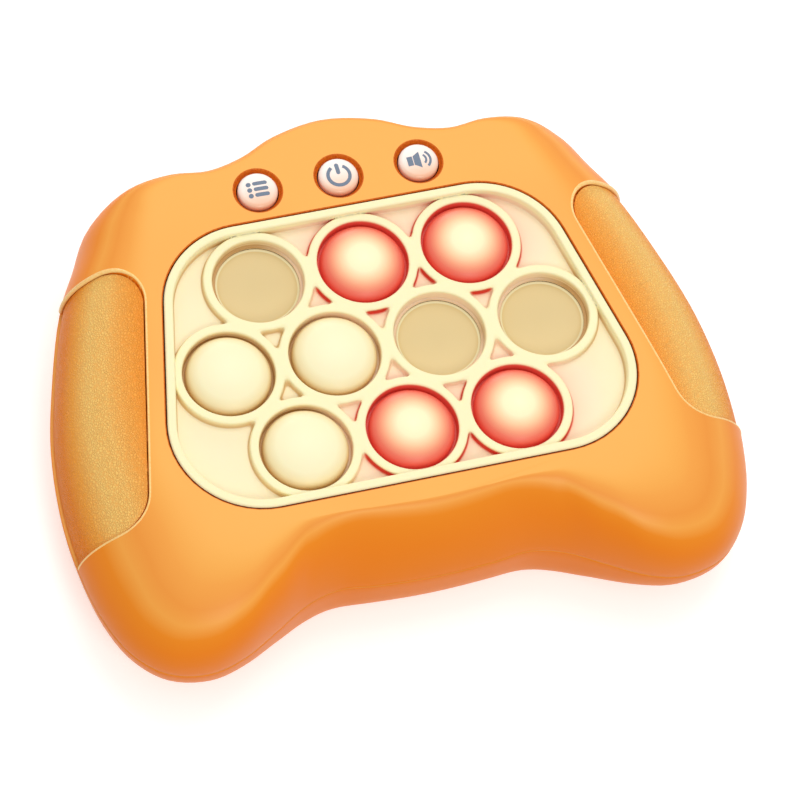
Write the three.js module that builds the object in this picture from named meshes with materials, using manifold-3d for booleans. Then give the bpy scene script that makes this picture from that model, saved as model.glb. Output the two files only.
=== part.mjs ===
// An electronic bubble pop game: a hand-held case of two shells with a silicone mat of ten bubbles.
// Millimetres, +Z up. The origin is under the middle of the case, on the face that it rests on.
// +X is the player's right, and +Y points away from the player.
import * as THREE from 'three';
import { mergeVertices } from 'three/addons/utils/BufferGeometryUtils.js';
import Module from 'manifold-3d';

const wasm = await Module();
wasm.setup();

// Case
const sideWidth = 29;
const frontDepth = 29.7;
const backEdge = 12;
const bellyDepth = 16;
const wall = 2.2;
const seamGap = 0.3;

// Clearances and cuts
const seatGap = 0.1;
const runGap = 0.3;
const overrun = 1;
const weldDistance = 0.0001;

// Bubble mat
const bubblePitch = 26;
const ringLap = 0.54;
const ringWidth = 2.2;
const ringBridge = 8.4;
const ringDrop = 1;
const rimRise = 0.2;
const rimHeight = 3;
const rimWidth = 2.2;
const matThickness = 2;
const matFlange = 2.3;
const ledgeDepth = 3;
const panelSideLap = 0.17;
const panelFrontLap = 1.59;
const panelBackLap = 0.39;
const panelTaperShare = 0.219;
const panelCorner = 21.5;

// Bubbles
const bubbleGap = 0.97;
const bubbleRise = 4.4;
const dishDepth = 2;
const dishLip = 0.5;
const bubbleSkin = 1;
const bubbleSkirt = 1.2;
const edgeDrop = 2.4;
const nubRadius = 2.4;

// Buttons
const buttonPitchShare = 0.777;
const buttonRadius = 4.9;
const buttonCrown = 0.6;
const buttonRise = 0.2;
const buttonFlange = 0.8;
const buttonFlangeHeight = 1;
const buttonTravel = 0.8;
const stemRadius = 1.6;
const stemLength = 0.8;
const bevelWidth = 0.6;
const bevelDepth = 0.9;

// Grips
const gripAway = 5;
const gripTaperShare = 0.222;
const gripLap = 3.4;
const gripCorner = 9;
const gripDepth = 0.5;
const gripThickness = 1.6;
const gripBacking = 1.6;
const gripBorder = 2.4;

// Batteries and their box
const cellCount = 3;
const cellRadius = 7.25;
const cellLength = 49.5;
const cellNub = 1;
const cellNubRadius = 2.75;
const cellGap = 0.5;
const pocketWall = 2;
const pocketAhead = 13;
const plateThickness = 0.5;
const plateMargin = 1.5;
const springHeight = 4.4;
const springRadius = 4;
const springTip = 2;
const springWire = 0.4;
const springTurns = 3;
const tagWidth = 3;
const tagRise = 1;

// Battery door
const doorThickness = 2;
const doorLap = 2;
const doorCorner = 2;
const ledgeHeight = 2;
const ledgeMargin = 3;
const tongueWidth = 9;
const tongueInset = 16;
const tongueReach = 1.5;
const tongueHeight = 1.2;
const doorEar = 6;
const doorEarSetBack = 3.5;
const doorScrewPlay = 0.5;

// Boards
const boardThickness = 1.6;
const boardGap = 2.5;
const boardClearance = 2.4;
const boardMargin = 2.5;
const boardCorner = 5;
const ledGap = 1.2;
const ledHeight = 1.6;
const chipWidth = 10;
const chipHeight = 1.2;
const switchWidth = 6;
const switchHeight = 3.5;
const plungerRadius = 1.7;
const plungerHeight = 0.8;
const buttonBoardDepth = 11;
const stakeRadius = 2;
const stakePin = 1;

// Light frame under the mat
const frameThickness = 2;
const frameEar = 1.8;
const tunnelWall = 1.2;

// Screws
const screwRadius = 1.4;
const screwHeadRadius = 2.7;
const screwHeadHeight = 1.8;
const screwBite = 8;
const caseScrewRecess = 7;
const postWall = 1.4;
const bossWall = 2;
const doorScrewRadius = 1.1;
const doorScrewHeadRadius = 2.2;
const doorScrewHeadHeight = 0.8;
const doorScrewLength = 4.4;

// Speaker
const speakerGap = 0.3;
const speakerRim = 2;
const magnetRadius = 7;
const magnetHeight = 4;
const speakerRibHeight = 3;
const speakerRib = 1.4;
const grilleSlot = 2;
const grillePitchShare = 0.42;
const grilleInset = 2.5;
const grilleCount = 5;

// Wires
const wireRadius = 0.6;
const wirePitch = 3;
const leadReach = 12;
const leadBow = 4;
const ribbonWidth = 8;
const ribbonThickness = 0.6;
const ribbonReach = 4;

// Facets
const stationCount = 48;
const outerLevels = 5;
const innerLevels = 2;
const bubbleSides = 14;
const roundSides = 12;
const tunnelSides = 8;
const smallSides = 6;
const wireSides = 8;
const leadSteps = 6;
const springSides = 4;
const springSteps = 6;
const arcSteps = 2;
const panelSteps = 3;
const domeSteps = 3;

// One row for each station of the right half, from the middle of the front round to the middle of the back.
// Each row holds the seam, the edge of the flat top and the edge of the flat belly, and then how square the
// top and the belly turn. The flat top is in shares of the mat's half width and reach, the rest of the case's.
const stationShares = [
  [0, -0.808, 0, -1.153, 0, -0.69, 1.45, 3.2],
  [0.168, -0.8, 0.239, -1.142, 0.156, -0.682, 1.37, 3.2],
  [0.288, -0.785, 0.423, -1.126, 0.264, -0.67, 1.45, 4],
  [0.384, -0.818, 0.552, -1.126, 0.342, -0.68, 1.6, 4],
  [0.484, -0.89, 0.663, -1.113, 0.408, -0.69, 2.2, 3],
  [0.6, -0.97, 0.755, -1.071, 0.474, -0.696, 2.5, 2.4],
  [0.702, -1, 0.838, -1.028, 0.528, -0.681, 2.4, 2.4],
  [0.818, -0.968, 0.92, -0.95, 0.582, -0.643, 2.3, 2.4],
  [0.902, -0.87, 0.994, -0.846, 0.624, -0.582, 2.1, 2.4],
  [0.957, -0.719, 1.055, -0.714, 0.66, -0.499, 1.9, 2.4],
  [0.99, -0.514, 1.091, -0.536, 0.69, -0.393, 1.85, 2.2],
  [1, -0.301, 1.088, -0.398, 0.702, -0.242, 1.85, 2],
  [0.98, -0.03, 1.039, -0.054, 0.691, -0.03, 2, 2],
  [0.932, 0.223, 0.973, 0.32, 0.666, 0.189, 2.15, 2],
  [0.856, 0.52, 0.917, 0.771, 0.624, 0.425, 2.2, 2],
  [0.8, 0.652, 0.874, 1.01, 0.594, 0.535, 2.2, 2],
  [0.728, 0.808, 0.828, 1.198, 0.552, 0.621, 2.3, 2],
  [0.622, 0.874, 0.755, 1.33, 0.486, 0.684, 3.4, 2.2],
  [0.492, 0.885, 0.681, 1.389, 0.408, 0.715, 4.1, 2.3],
  [0.372, 0.868, 0.543, 1.378, 0.324, 0.731, 4.2, 2.3],
  [0.264, 0.899, 0.387, 1.422, 0.234, 0.763, 4.5, 2.3],
  [0.156, 0.962, 0.23, 1.519, 0.138, 0.81, 4.8, 2.3],
  [0, 1, 0, 1.59, 0, 0.838, 4.4, 2.3],
];

// Where the screws of the case stand, as shares of half the width and of the front or back reach.
const caseScrewShares = [
  ['horn', 0.72, -0.79],
  ['side', 0.8, -0.03],
  ['back', 0.535, 0.765],
];

// The reach of the mat and the case, which the pitch of the bubbles sets
const rowAngle = Math.PI / 3;
const rowPitch = bubblePitch * Math.sin(rowAngle);
const ringRadius = (bubblePitch + ringLap) / 2;
const wellRadius = ringRadius - ringWidth;
const bubbleRadius = wellRadius - bubbleGap;
const panelHalf = 3 * bubblePitch / 2 + ringRadius + rimWidth - panelSideLap;
const panelFront = rowPitch + ringRadius + rimWidth - panelFrontLap;
const panelBack = rowPitch + ringRadius + rimWidth - panelBackLap;
const halfWidth = panelHalf + sideWidth;
const gripReach = panelFront - gripLap;
const frontReach = panelFront + frontDepth;
const buttonAway = matFlange + runGap + buttonRadius + buttonFlange;
const backReach = panelBack + buttonAway + buttonRadius + buttonFlange + backEdge;
const gridY = (frontReach - backReach) / 2;

// Levels above the rest face
const seamLow = bellyDepth - seamGap / 2;
const seamHigh = bellyDepth + seamGap / 2;
const cellAxis = doorThickness + cellGap + cellRadius;
const pocketTop = cellAxis + cellRadius + cellGap;
const roofTop = pocketTop + pocketWall;
const boardUnder = roofTop + boardGap;
const boardTop = boardUnder + boardThickness;
const bubbleTravel = bubbleRise + dishDepth;
const skirtFoot = boardTop + boardClearance + bubbleTravel;
const bubbleEdge = skirtFoot + bubbleSkirt;
const ringTop = bubbleEdge + edgeDrop;
const plateau = ringTop + ringDrop;
const ceiling = plateau - wall;
const rimTop = plateau + rimRise;
const matFloor = rimTop - rimHeight;
const matUnder = matFloor - matThickness;
const frameTop = matUnder - seatGap;
const plungerTop = boardTop + seatGap + switchHeight + plungerHeight;
const flangeTop = ceiling - runGap;
const flangeUnder = flangeTop - buttonFlangeHeight;
const stemFoot = flangeUnder - stemLength;
const buttonPlungerTop = stemFoot - buttonTravel - runGap;
const buttonBoardTop = buttonPlungerTop - plungerHeight - switchHeight - seatGap;

// Places in plan
const holeRadius = bubbleRadius + runGap;
const ledWidth = holeRadius - switchWidth / 2 - 2 * ledGap;
const ledAway = switchWidth / 2 + ledGap + ledWidth / 2;
const cellPitch = 2 * cellRadius + cellGap;
const pocketHalfX = (cellLength + cellNub + springHeight) / 2 + plateThickness + 2 * runGap;
const pocketHalfY = (cellCount * cellPitch + cellGap) / 2;
const plateX = pocketHalfX - runGap - plateThickness / 2;
const springReach = plateX - (cellLength + cellNub - springHeight) / 2 - springWire - runGap;
const pocketY = gridY + pocketAhead;
const doorHalfX = pocketHalfX + doorLap;
const doorHalfY = pocketHalfY + doorLap;
const doorBackEdge = pocketY + doorHalfY;
const doorScrewY = pocketY - doorHalfY - doorEarSetBack;
const buttonPitch = buttonPitchShare * bubblePitch;
const buttonY = gridY + panelBack + buttonAway;
const stakeX = buttonPitch + buttonRadius + buttonFlange + runGap + stakeRadius;
const bossRadius = screwRadius + runGap + bossWall;
const doorBossRadius = doorScrewRadius + doorScrewPlay + bossWall;
const liningHalfY = doorEar / 2 + runGap + pocketWall;
const speakerBack = doorScrewY - liningHalfY - runGap;
const speakerFront = onCase(stationShares[0].slice(4)).y + speakerRib + runGap + speakerGap;
const speakerRadius = (speakerBack - speakerFront) / 2;
const speakerY = speakerBack - speakerRadius;
const grilleReach = speakerRadius - grilleInset;

const rows = [
  ['back', rowPitch, ['left', 'centre', 'right']],
  ['middle', 0, ['far_left', 'left', 'right', 'far_right']],
  ['front', -rowPitch, ['left', 'centre', 'right']],
];
const pressedBubbles = ['back_left', 'middle_right', 'middle_far_right'];
const litBubbles = ['back_centre', 'back_right', 'front_centre', 'front_right'];

const lastCell = cellCount - 1;
const cellY = (index) => pocketY + (index - lastCell / 2) * cellPitch;
const tagY = (side) => cellY(side < 0 ? 0 : lastCell);

const bubblePlaces = rows.flatMap(([row, along, names]) => names.map((name, i) => ({
  name: `${row}_${name}`,
  x: (i - (names.length - 1) / 2) * bubblePitch,
  y: gridY + along,
})));

// Solids from geometries

function solidOf(geometry) {
  geometry.deleteAttribute('normal');
  geometry.deleteAttribute('uv');
  const merged = mergeVertices(geometry, weldDistance);
  const points = merged.attributes.position;
  const corners = [];
  for (let i = 0; i < merged.index.count; i += 3) {
    const triangle = [0, 1, 2].map((k) => merged.index.getX(i + k));
    if (new Set(triangle).size === 3) corners.push(triangle);
  }
  const at = (i) => new THREE.Vector3().fromBufferAttribute(points, i);
  const volume = corners.reduce((sum, [a, b, c]) => sum + at(a).dot(at(b).cross(at(c))), 0);
  const outward = volume > 0 ? corners : corners.map(([a, b, c]) => [a, c, b]);
  return new wasm.Manifold(new wasm.Mesh({
    numProp: 3,
    vertProperties: new Float32Array(points.array),
    triVerts: new Uint32Array(outward.flat()),
  }));
}

function geometryOf(solid) {
  const mesh = solid.getMesh();
  const geometry = new THREE.BufferGeometry();
  const points = new Float32Array(mesh.vertProperties);
  geometry.setAttribute('position', new THREE.BufferAttribute(points, mesh.numProp));
  geometry.setIndex(new THREE.BufferAttribute(new Uint32Array(mesh.triVerts), 1));
  geometry.computeVertexNormals();
  return geometry;
}

function disc(radius, low, high, x = 0, y = 0, sides = roundSides) {
  const geometry = new THREE.CylinderGeometry(radius, radius, high - low, sides);
  geometry.rotateX(Math.PI / 2);
  geometry.translate(x, y, (low + high) / 2);
  return solidOf(geometry);
}

function block(width, depth, low, high, x = 0, y = 0) {
  const geometry = new THREE.BoxGeometry(width, depth, high - low);
  geometry.translate(x, y, (low + high) / 2);
  return solidOf(geometry);
}

function prism(shape, low, high, curveSegments = arcSteps) {
  const depth = high - low;
  const geometry = new THREE.ExtrudeGeometry(shape, { depth, bevelEnabled: false, curveSegments });
  geometry.translate(0, 0, low);
  return solidOf(geometry);
}

function revolve(profile, sides = roundSides, x = 0, y = 0) {
  const points = profile.map(([radius, height]) => new THREE.Vector2(radius, height));
  const geometry = new THREE.LatheGeometry(points, sides);
  geometry.rotateX(Math.PI / 2);
  geometry.translate(x, y, 0);
  return solidOf(geometry);
}

// A closed loft through loops with equal counts of points, from the lowest up, closed by a fan at each end.
function loft(loops) {
  const count = loops[0].length;
  const points = loops.flat();
  const index = [];
  for (let level = 0; level + 1 < loops.length; level += 1) {
    for (let i = 0; i < count; i += 1) {
      const a = level * count + i;
      const b = level * count + (i + 1) % count;
      index.push(a, b, b + count, a, b + count, a + count);
    }
  }
  [loops[0], loops.at(-1)].forEach((loop, end) => {
    const middle = points.push(new THREE.Vector3(0, gridY, loop[0].z)) - 1;
    const first = end * (loops.length - 1) * count;
    for (let i = 0; i < count; i += 1) {
      const pair = [first + i, first + (i + 1) % count];
      index.push(middle, ...(end ? pair : pair.reverse()));
    }
  });
  const geometry = new THREE.BufferGeometry().setFromPoints(points);
  geometry.setIndex(index);
  return solidOf(geometry);
}

// A polygon with rounded corners, its corners listed anticlockwise.
function roundedShape(corners, radius) {
  const shape = new THREE.Shape();
  corners.forEach((corner, i) => {
    const toBefore = corners.at(i - 1).clone().sub(corner).normalize();
    const toAfter = corners[(i + 1) % corners.length].clone().sub(corner).normalize();
    const half = toBefore.angleTo(toAfter) / 2;
    const bisector = toBefore.clone().add(toAfter).normalize();
    const middle = bisector.multiplyScalar(radius / Math.sin(half)).add(corner);
    const start = toBefore.multiplyScalar(radius / Math.tan(half)).add(corner).sub(middle);
    const end = toAfter.multiplyScalar(radius / Math.tan(half)).add(corner).sub(middle);
    shape.absarc(middle.x, middle.y, radius, start.angle(), end.angle(), false);
  });
  return shape;
}

function rectangle(halfX, halfY, radius, y = 0) {
  return roundedShape([
    new THREE.Vector2(halfX, y - halfY),
    new THREE.Vector2(halfX, y + halfY),
    new THREE.Vector2(-halfX, y + halfY),
    new THREE.Vector2(-halfX, y - halfY),
  ], radius);
}

// Case surfaces

function placeOf([x, y], half, front, back) {
  return new THREE.Vector3(x * half, gridY + y * (y < 0 ? front : back), 0);
}

function onCase(shares) {
  return placeOf(shares, halfWidth, frontReach, backReach);
}

function onMat(shares) {
  return placeOf(shares, panelHalf, panelFront, panelBack);
}

function closedCurve(half, mirrored) {
  const leftHalf = half.slice(1, -1).reverse().map(mirrored);
  return new THREE.CatmullRomCurve3([...half, ...leftHalf], true, 'centripetal');
}

function makeStations() {
  const mirror = (p) => new THREE.Vector3(-p.x, p.y, p.z);
  const curveOf = (place, first) => closedCurve(stationShares.map((row) => place(row.slice(first))), mirror);
  const seamCurve = curveOf(onCase, 0);
  const crownCurve = curveOf(onMat, 2);
  const bellyCurve = curveOf(onCase, 4);
  const squareness = stationShares.map((row) => new THREE.Vector3(row[6], row[7], 0));
  const turnCurve = closedCurve(squareness, (p) => p.clone());
  return Array.from({ length: stationCount }, (_, i) => {
    const share = i / stationCount;
    const along = seamCurve.getTangent(share);
    const turn = turnCurve.getPoint(share);
    return {
      seam: seamCurve.getPoint(share),
      crown: crownCurve.getPoint(share),
      belly: bellyCurve.getPoint(share),
      inward: new THREE.Vector3(-along.y, along.x, 0).normalize(),
      crownTurn: turn.x,
      bellyTurn: turn.y,
    };
  });
}

const stations = makeStations();

// One loop of the case: a share of the way from the seam to the flat face along a rounded profile.
function caseLoop(inset, side, base, face, share) {
  const angle = share * Math.PI / 2;
  return stations.map((station) => {
    const power = 2 / (side === 'crown' ? station.crownTurn : station.bellyTurn);
    const across = share === 1 ? 0 : Math.cos(angle) ** power;
    const up = Math.sin(angle) ** power;
    const foot = station.seam.clone().addScaledVector(station.inward, inset);
    const point = station[side].clone().lerp(foot, across);
    return point.setZ(base + (face - base) * up);
  });
}

// The upper half of the case, drawn in by an inset. An open one runs on below the seam, to cut with.
function crownSolid(inset, open = false, levels = outerLevels) {
  const face = plateau - inset;
  const shares = Array.from({ length: levels + 1 }, (_, i) => i / levels);
  const loops = shares.map((share) => caseLoop(inset, 'crown', seamHigh, face, share));
  if (open) loops.unshift(loops[0].map((p) => p.clone().setZ(p.z - overrun)));
  return loft(loops);
}

// The lower half of the case, in the same way.
function bellySolid(inset, open = false, levels = outerLevels - 1) {
  const shares = Array.from({ length: levels + 1 }, (_, i) => i / levels);
  const loops = shares.map((share) => caseLoop(inset, 'belly', seamLow, inset, share)).reverse();
  if (open) loops.push(loops.at(-1).map((p) => p.clone().setZ(p.z + overrun)));
  return loft(loops);
}

// A plate with the outline of the mat's panel, grown by a margin.
function panelPlate(margin, low, high) {
  const lean = margin / Math.cos(Math.atan(panelTaperShare));
  const front = gridY - panelFront - margin;
  const back = gridY + panelBack + margin;
  const frontHalf = panelHalf + panelTaperShare * (panelFront + margin) + lean;
  const backHalf = panelHalf - panelTaperShare * (panelBack + margin) + lean;
  const outline = roundedShape([
    new THREE.Vector2(frontHalf, front),
    new THREE.Vector2(backHalf, back),
    new THREE.Vector2(-backHalf, back),
    new THREE.Vector2(-frontHalf, front),
  ], panelCorner + margin);
  return prism(outline, low, high, panelSteps);
}

// Four screw places on the diagonals of the mat's rounded corners, just outside its flange.
function panelScrewPlaces() {
  const reach = panelCorner + matFlange + runGap + bossRadius;
  const step = reach * Math.SQRT1_2;
  const toCentre = panelCorner / Math.cos(Math.atan(panelTaperShare));
  return [[-1, panelFront], [1, panelBack]].flatMap(([way, edge]) => {
    const along = way * (edge - panelCorner);
    const across = panelHalf - panelTaperShare * along - toCentre;
    return [-1, 1].map((side) => [side * (across + step), gridY + along + way * step]);
  });
}

const panelScrews = panelScrewPlaces();
const caseScrews = caseScrewShares.flatMap(([name, ...shares]) => [-1, 1].map((side) => {
  const place = onCase(shares);
  return { name: `${name}_${side < 0 ? 'left' : 'right'}`, x: side * place.x, y: place.y };
}));

// The plan outline of a grip, grown by a margin and running out past the side of the case.
function gripShape(side, margin) {
  const lineAt = (y) => panelHalf + gripAway - gripTaperShare * y - margin;
  const reach = gripReach + margin;
  const outside = 2 * halfWidth;
  const corners = [
    new THREE.Vector2(side * lineAt(reach), gridY + reach),
    new THREE.Vector2(side * lineAt(-reach), gridY - reach),
    new THREE.Vector2(side * outside, gridY - reach),
    new THREE.Vector2(side * outside, gridY + reach),
  ];
  return roundedShape(side < 0 ? corners.reverse() : corners, gripCorner);
}

function gripPrism(side, margin, low) {
  return prism(gripShape(side, margin), low, plateau + overrun);
}

// Sub-parts

function screwPilot(x, y, low, high) {
  return disc(screwRadius + runGap, low, high, x, y, smallSides);
}

function buttonSeat(x) {
  const bore = disc(buttonRadius + runGap, ceiling - overrun, plateau + overrun, x, buttonY);
  const inner = buttonRadius + runGap;
  const outer = inner + bevelWidth;
  const bevel = revolve([
    [0, plateau - bevelDepth],
    [inner, plateau - bevelDepth],
    [outer, plateau],
    [outer, plateau + overrun],
    [0, plateau + overrun],
  ], roundSides, x, buttonY);
  return bore.add(bevel);
}

function topShell() {
  let shell = crownSolid(0).subtract(crownSolid(wall, true, innerLevels));
  const inside = crownSolid(wall / 2);
  const backing = gripDepth + gripThickness + runGap;
  for (const { x, y } of caseScrews) {
    shell = shell.add(disc(bossRadius, seamHigh, plateau, x, y, smallSides).intersect(inside));
  }
  for (const side of [-1, 1]) {
    const bed = crownSolid(wall).intersect(gripPrism(side, gripBorder, seamHigh));
    shell = shell.add(bed.subtract(crownSolid(backing + gripBacking, true, innerLevels)));
    shell = shell.subtract(gripPrism(side, runGap, seamHigh - overrun).subtract(crownSolid(backing)));
  }
  for (const { x, y } of caseScrews) {
    shell = shell.subtract(screwPilot(x, y, seamHigh - overrun, seamHigh + screwBite));
  }
  for (const [x, y] of panelScrews) {
    shell = shell.add(disc(bossRadius, frameTop, plateau, x, y, smallSides).intersect(inside));
    shell = shell.subtract(screwPilot(x, y, frameTop - overrun, ceiling));
  }
  shell = shell.subtract(panelPlate(runGap, ceiling - overrun, plateau + overrun));
  for (const place of [-1, 0, 1]) shell = shell.subtract(buttonSeat(place * buttonPitch));
  for (const side of [-1, 1]) shell = shell.add(stake(side * stakeX));
  return shell;
}

// A post that hangs from the top shell, with a pin through the button board.
function stake(x) {
  const post = disc(stakeRadius, buttonBoardTop + seatGap, plateau - wall / 2, x, buttonY, smallSides);
  const pin = disc(stakePin, buttonBoardTop - boardThickness - runGap, ceiling, x, buttonY, smallSides);
  return post.add(pin);
}

function grip(side) {
  const skin = crownSolid(gripDepth).subtract(crownSolid(gripDepth + gripThickness, true));
  return skin.intersect(gripPrism(side, 0, seamHigh));
}

// The mouth of the battery box: the door's opening, with a notch for its ear and seats for its tongues.
function doorShape(margin) {
  return rectangle(doorHalfX + margin, doorHalfY + margin, doorCorner + margin, pocketY);
}

function doorPlan(low, high, margin) {
  const earY = doorScrewY + doorLap / 2 - margin;
  const ear = block(2 * (doorEar + margin), doorEar + doorLap, low, high, 0, earY);
  return prism(doorShape(margin), low, high).add(ear);
}

function tongue(side) {
  const x = side * (doorHalfX - tongueInset);
  const low = wall + runGap;
  const high = low + tongueHeight;
  const root = doorLap + runGap;
  const reach = root + tongueReach;
  const near = doorBackEdge - root;
  return block(tongueWidth, reach, low, high, x, near + reach / 2)
    .add(block(tongueWidth, root, doorThickness / 2, high, x, near + root / 2));
}

function batteryBox() {
  const outer = rectangle(pocketHalfX + pocketWall, pocketHalfY + pocketWall, pocketWall, pocketY);
  const ledge = rectangle(doorHalfX + ledgeMargin, doorHalfY + ledgeMargin, ledgeMargin, pocketY);
  const collar = prism(ledge, doorThickness + seatGap, doorThickness + seatGap + ledgeHeight + tongueHeight);
  return prism(outer, doorThickness + seatGap, roofTop).add(collar);
}

function batteryHollow() {
  let hollow = block(2 * pocketHalfX, 2 * pocketHalfY, 0, pocketTop, 0, pocketY);
  for (const side of [-1, 1]) {
    hollow = hollow.add(block(
      tongueWidth + 2 * runGap,
      doorLap + tongueReach + 3 * runGap,
      doorThickness - overrun / 2,
      doorThickness + wall + tongueHeight,
      side * (doorHalfX - tongueInset),
      doorBackEdge - doorLap + (doorLap + tongueReach + runGap) / 2,
    ));
    const slotX = side * (pocketHalfX - plateThickness);
    const slot = 2 * (plateThickness + runGap);
    const slotLength = tagWidth + 2 * runGap;
    hollow = hollow.add(block(slot, slotLength, pocketTop - overrun, roofTop + overrun, slotX, tagY(side)));
  }
  return hollow.add(doorPlan(-overrun, doorThickness + seatGap, runGap));
}

function speakerGrille() {
  let slots = null;
  for (let i = 0; i < grilleCount; i += 1) {
    const away = (i - (grilleCount - 1) / 2) * grillePitchShare * grilleReach;
    const reach = Math.sqrt(grilleReach ** 2 - away ** 2);
    const shape = rectangle(reach, grilleSlot / 2, grilleSlot / 2, speakerY + away);
    const slot = prism(shape, -overrun, wall + overrun);
    slots = slots ? slots.add(slot) : slot;
  }
  return slots;
}

function bottomShell() {
  let shell = bellySolid(0).subtract(bellySolid(wall, true, innerLevels));
  const inside = bellySolid(wall / 2, true);
  const headRoom = screwHeadRadius + runGap;
  for (const { x, y } of caseScrews) {
    shell = shell.add(disc(headRoom + postWall, 0, seamLow, x, y, smallSides).intersect(inside));
    shell = shell.subtract(disc(headRoom, -overrun, caseScrewRecess, x, y, smallSides));
    shell = shell.subtract(screwPilot(x, y, 0, seamLow + overrun));
  }
  const rib = speakerRadius + runGap;
  const ring = disc(rib + speakerRib, wall / 2, wall + speakerRibHeight, 0, speakerY);
  shell = shell.add(ring.subtract(disc(rib, 0, bellyDepth, 0, speakerY)));
  shell = shell.subtract(speakerGrille());
  const bossTop = wall + doorScrewLength + pocketWall;
  const boss = disc(doorBossRadius, wall / 2, bossTop, 0, doorScrewY, smallSides);
  shell = shell.add(batteryBox()).add(boss).add(doorLining());
  shell = shell.subtract(batteryHollow());
  const bore = disc(doorScrewRadius + doorScrewPlay, 0, bossTop - pocketWall / 2, 0, doorScrewY, smallSides);
  return shell.subtract(bore);
}

// The floor over the door's ear, which the boss of its screw stands on.
function doorLining() {
  const low = doorThickness + seatGap;
  return block(2 * doorEar + 2 * ledgeMargin, 2 * liningHalfY, low, low + ledgeHeight, 0, doorScrewY);
}

function batteryDoor() {
  let door = doorPlan(0, doorThickness, 0);
  for (const side of [-1, 1]) door = door.add(tongue(side));
  const head = doorScrewHeadRadius + runGap;
  door = door.subtract(disc(head, -overrun, doorScrewHeadHeight + runGap, 0, doorScrewY, smallSides));
  const shank = doorScrewRadius + runGap;
  return door.subtract(disc(shank, 0, doorThickness + overrun, 0, doorScrewY, smallSides));
}

// A screw standing on its head, with its head's face at height 0.
function screw(radius, headRadius, headHeight, length) {
  return revolve([
    [0, 0],
    [headRadius, 0],
    [headRadius, headHeight],
    [radius, headHeight],
    [radius, length - radius],
    [0, length],
  ], smallSides);
}

function bubbleMat() {
  let mat = panelPlate(matFlange, matUnder, matFloor);
  mat = mat.add(panelPlate(0, matUnder, rimTop));
  mat = mat.subtract(panelPlate(-rimWidth, matFloor, rimTop + overrun));
  const inside = panelPlate(-rimWidth / 2, matUnder, ringTop);
  let rings = null;
  for (const { x, y } of bubblePlaces) {
    const ring = disc(ringRadius, matUnder, ringTop, x, y, bubbleSides);
    rings = rings ? rings.add(ring) : ring;
  }
  for (const bridge of ringBridges()) rings = rings.add(bridge);
  mat = mat.add(rings.intersect(inside));
  for (const { x, y } of bubblePlaces) {
    mat = mat.subtract(disc(wellRadius, ringTop - ledgeDepth, rimTop, x, y, bubbleSides));
    mat = mat.subtract(disc(holeRadius, matUnder - overrun, ringTop, x, y, bubbleSides));
  }
  return mat;
}

// Webs that blunt the corners between rings that touch.
function ringBridges() {
  const bridges = [];
  bubblePlaces.forEach((a, i) => bubblePlaces.slice(i + 1).forEach((b) => {
    const across = new THREE.Vector2(b.x - a.x, b.y - a.y);
    if (across.length() > bubblePitch + ringWidth) return;
    const geometry = new THREE.BoxGeometry(bubblePitch / 2, ringBridge, ringTop - matUnder);
    geometry.rotateZ(across.angle());
    geometry.translate((a.x + b.x) / 2, (a.y + b.y) / 2, (ringTop + matUnder) / 2);
    bridges.push(solidOf(geometry));
  }));
  return bridges;
}

// Points of a shallow dome from its top to its edge.
function domeProfile(radius, rise) {
  const sphere = (radius ** 2 + rise ** 2) / (2 * rise);
  return Array.from({ length: domeSteps + 1 }, (_, i) => {
    const across = radius * Math.sin((i / domeSteps) * Math.PI / 2);
    return [across, Math.sqrt(sphere ** 2 - across ** 2) - (sphere - rise)];
  });
}

const nubLength = bubbleEdge - dishDepth - bubbleSkin - plungerTop - runGap;

// A bubble standing up, with the height of its edge at 0.
function raisedBubble() {
  const under = bubbleRise - bubbleSkin;
  return revolve([
    ...domeProfile(bubbleRadius, bubbleRise),
    [bubbleRadius, -bubbleSkirt],
    [bubbleRadius - bubbleSkin, -bubbleSkirt],
    [nubRadius, under],
    [nubRadius, under - nubLength],
    [0, under - nubLength],
  ], bubbleSides);
}

// A bubble that has been popped in: a shallow dish in the same skirt.
function pressedBubble() {
  const dish = domeProfile(bubbleRadius - dishLip, dishDepth).map(([radius, height]) => [radius, -height]);
  const under = -dishDepth - bubbleSkin;
  return revolve([
    ...dish,
    [bubbleRadius, 0],
    [bubbleRadius, -bubbleSkirt],
    [bubbleRadius - bubbleSkin, -bubbleSkirt],
    [nubRadius, under],
    [nubRadius, under - nubLength],
    [0, under - nubLength],
  ], bubbleSides);
}

function button() {
  const top = plateau + buttonRise;
  return revolve([
    ...domeProfile(buttonRadius, buttonCrown).map(([radius, height]) => [radius, top + height]),
    [buttonRadius, flangeTop],
    [buttonRadius + buttonFlange, flangeTop],
    [buttonRadius + buttonFlange, flangeUnder],
    [stemRadius, flangeUnder],
    [stemRadius, stemFoot],
    [0, stemFoot],
  ]);
}

function lightFrame() {
  const low = frameTop - frameThickness;
  let frame = panelPlate(matFlange, low, frameTop);
  for (const [x, y] of panelScrews) {
    frame = frame.add(disc(bossRadius + frameEar, low, frameTop - seatGap, x, y, smallSides));
  }
  const bore = (holeRadius + runGap) / Math.cos(Math.PI / tunnelSides);
  for (const { x, y } of bubblePlaces) {
    frame = frame.add(disc(bore + tunnelWall, boardTop + seatGap, frameTop, x, y, tunnelSides));
  }
  for (const { x, y } of bubblePlaces) {
    frame = frame.subtract(disc(bore, boardTop, frameTop + overrun, x, y, tunnelSides));
  }
  for (const [x, y] of panelScrews) {
    const tube = disc(bossRadius, boardTop + seatGap, frameTop - seatGap, x, y, smallSides);
    frame = frame.add(tube).subtract(screwPilot(x, y, boardTop, frameTop + overrun));
  }
  return frame;
}

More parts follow.
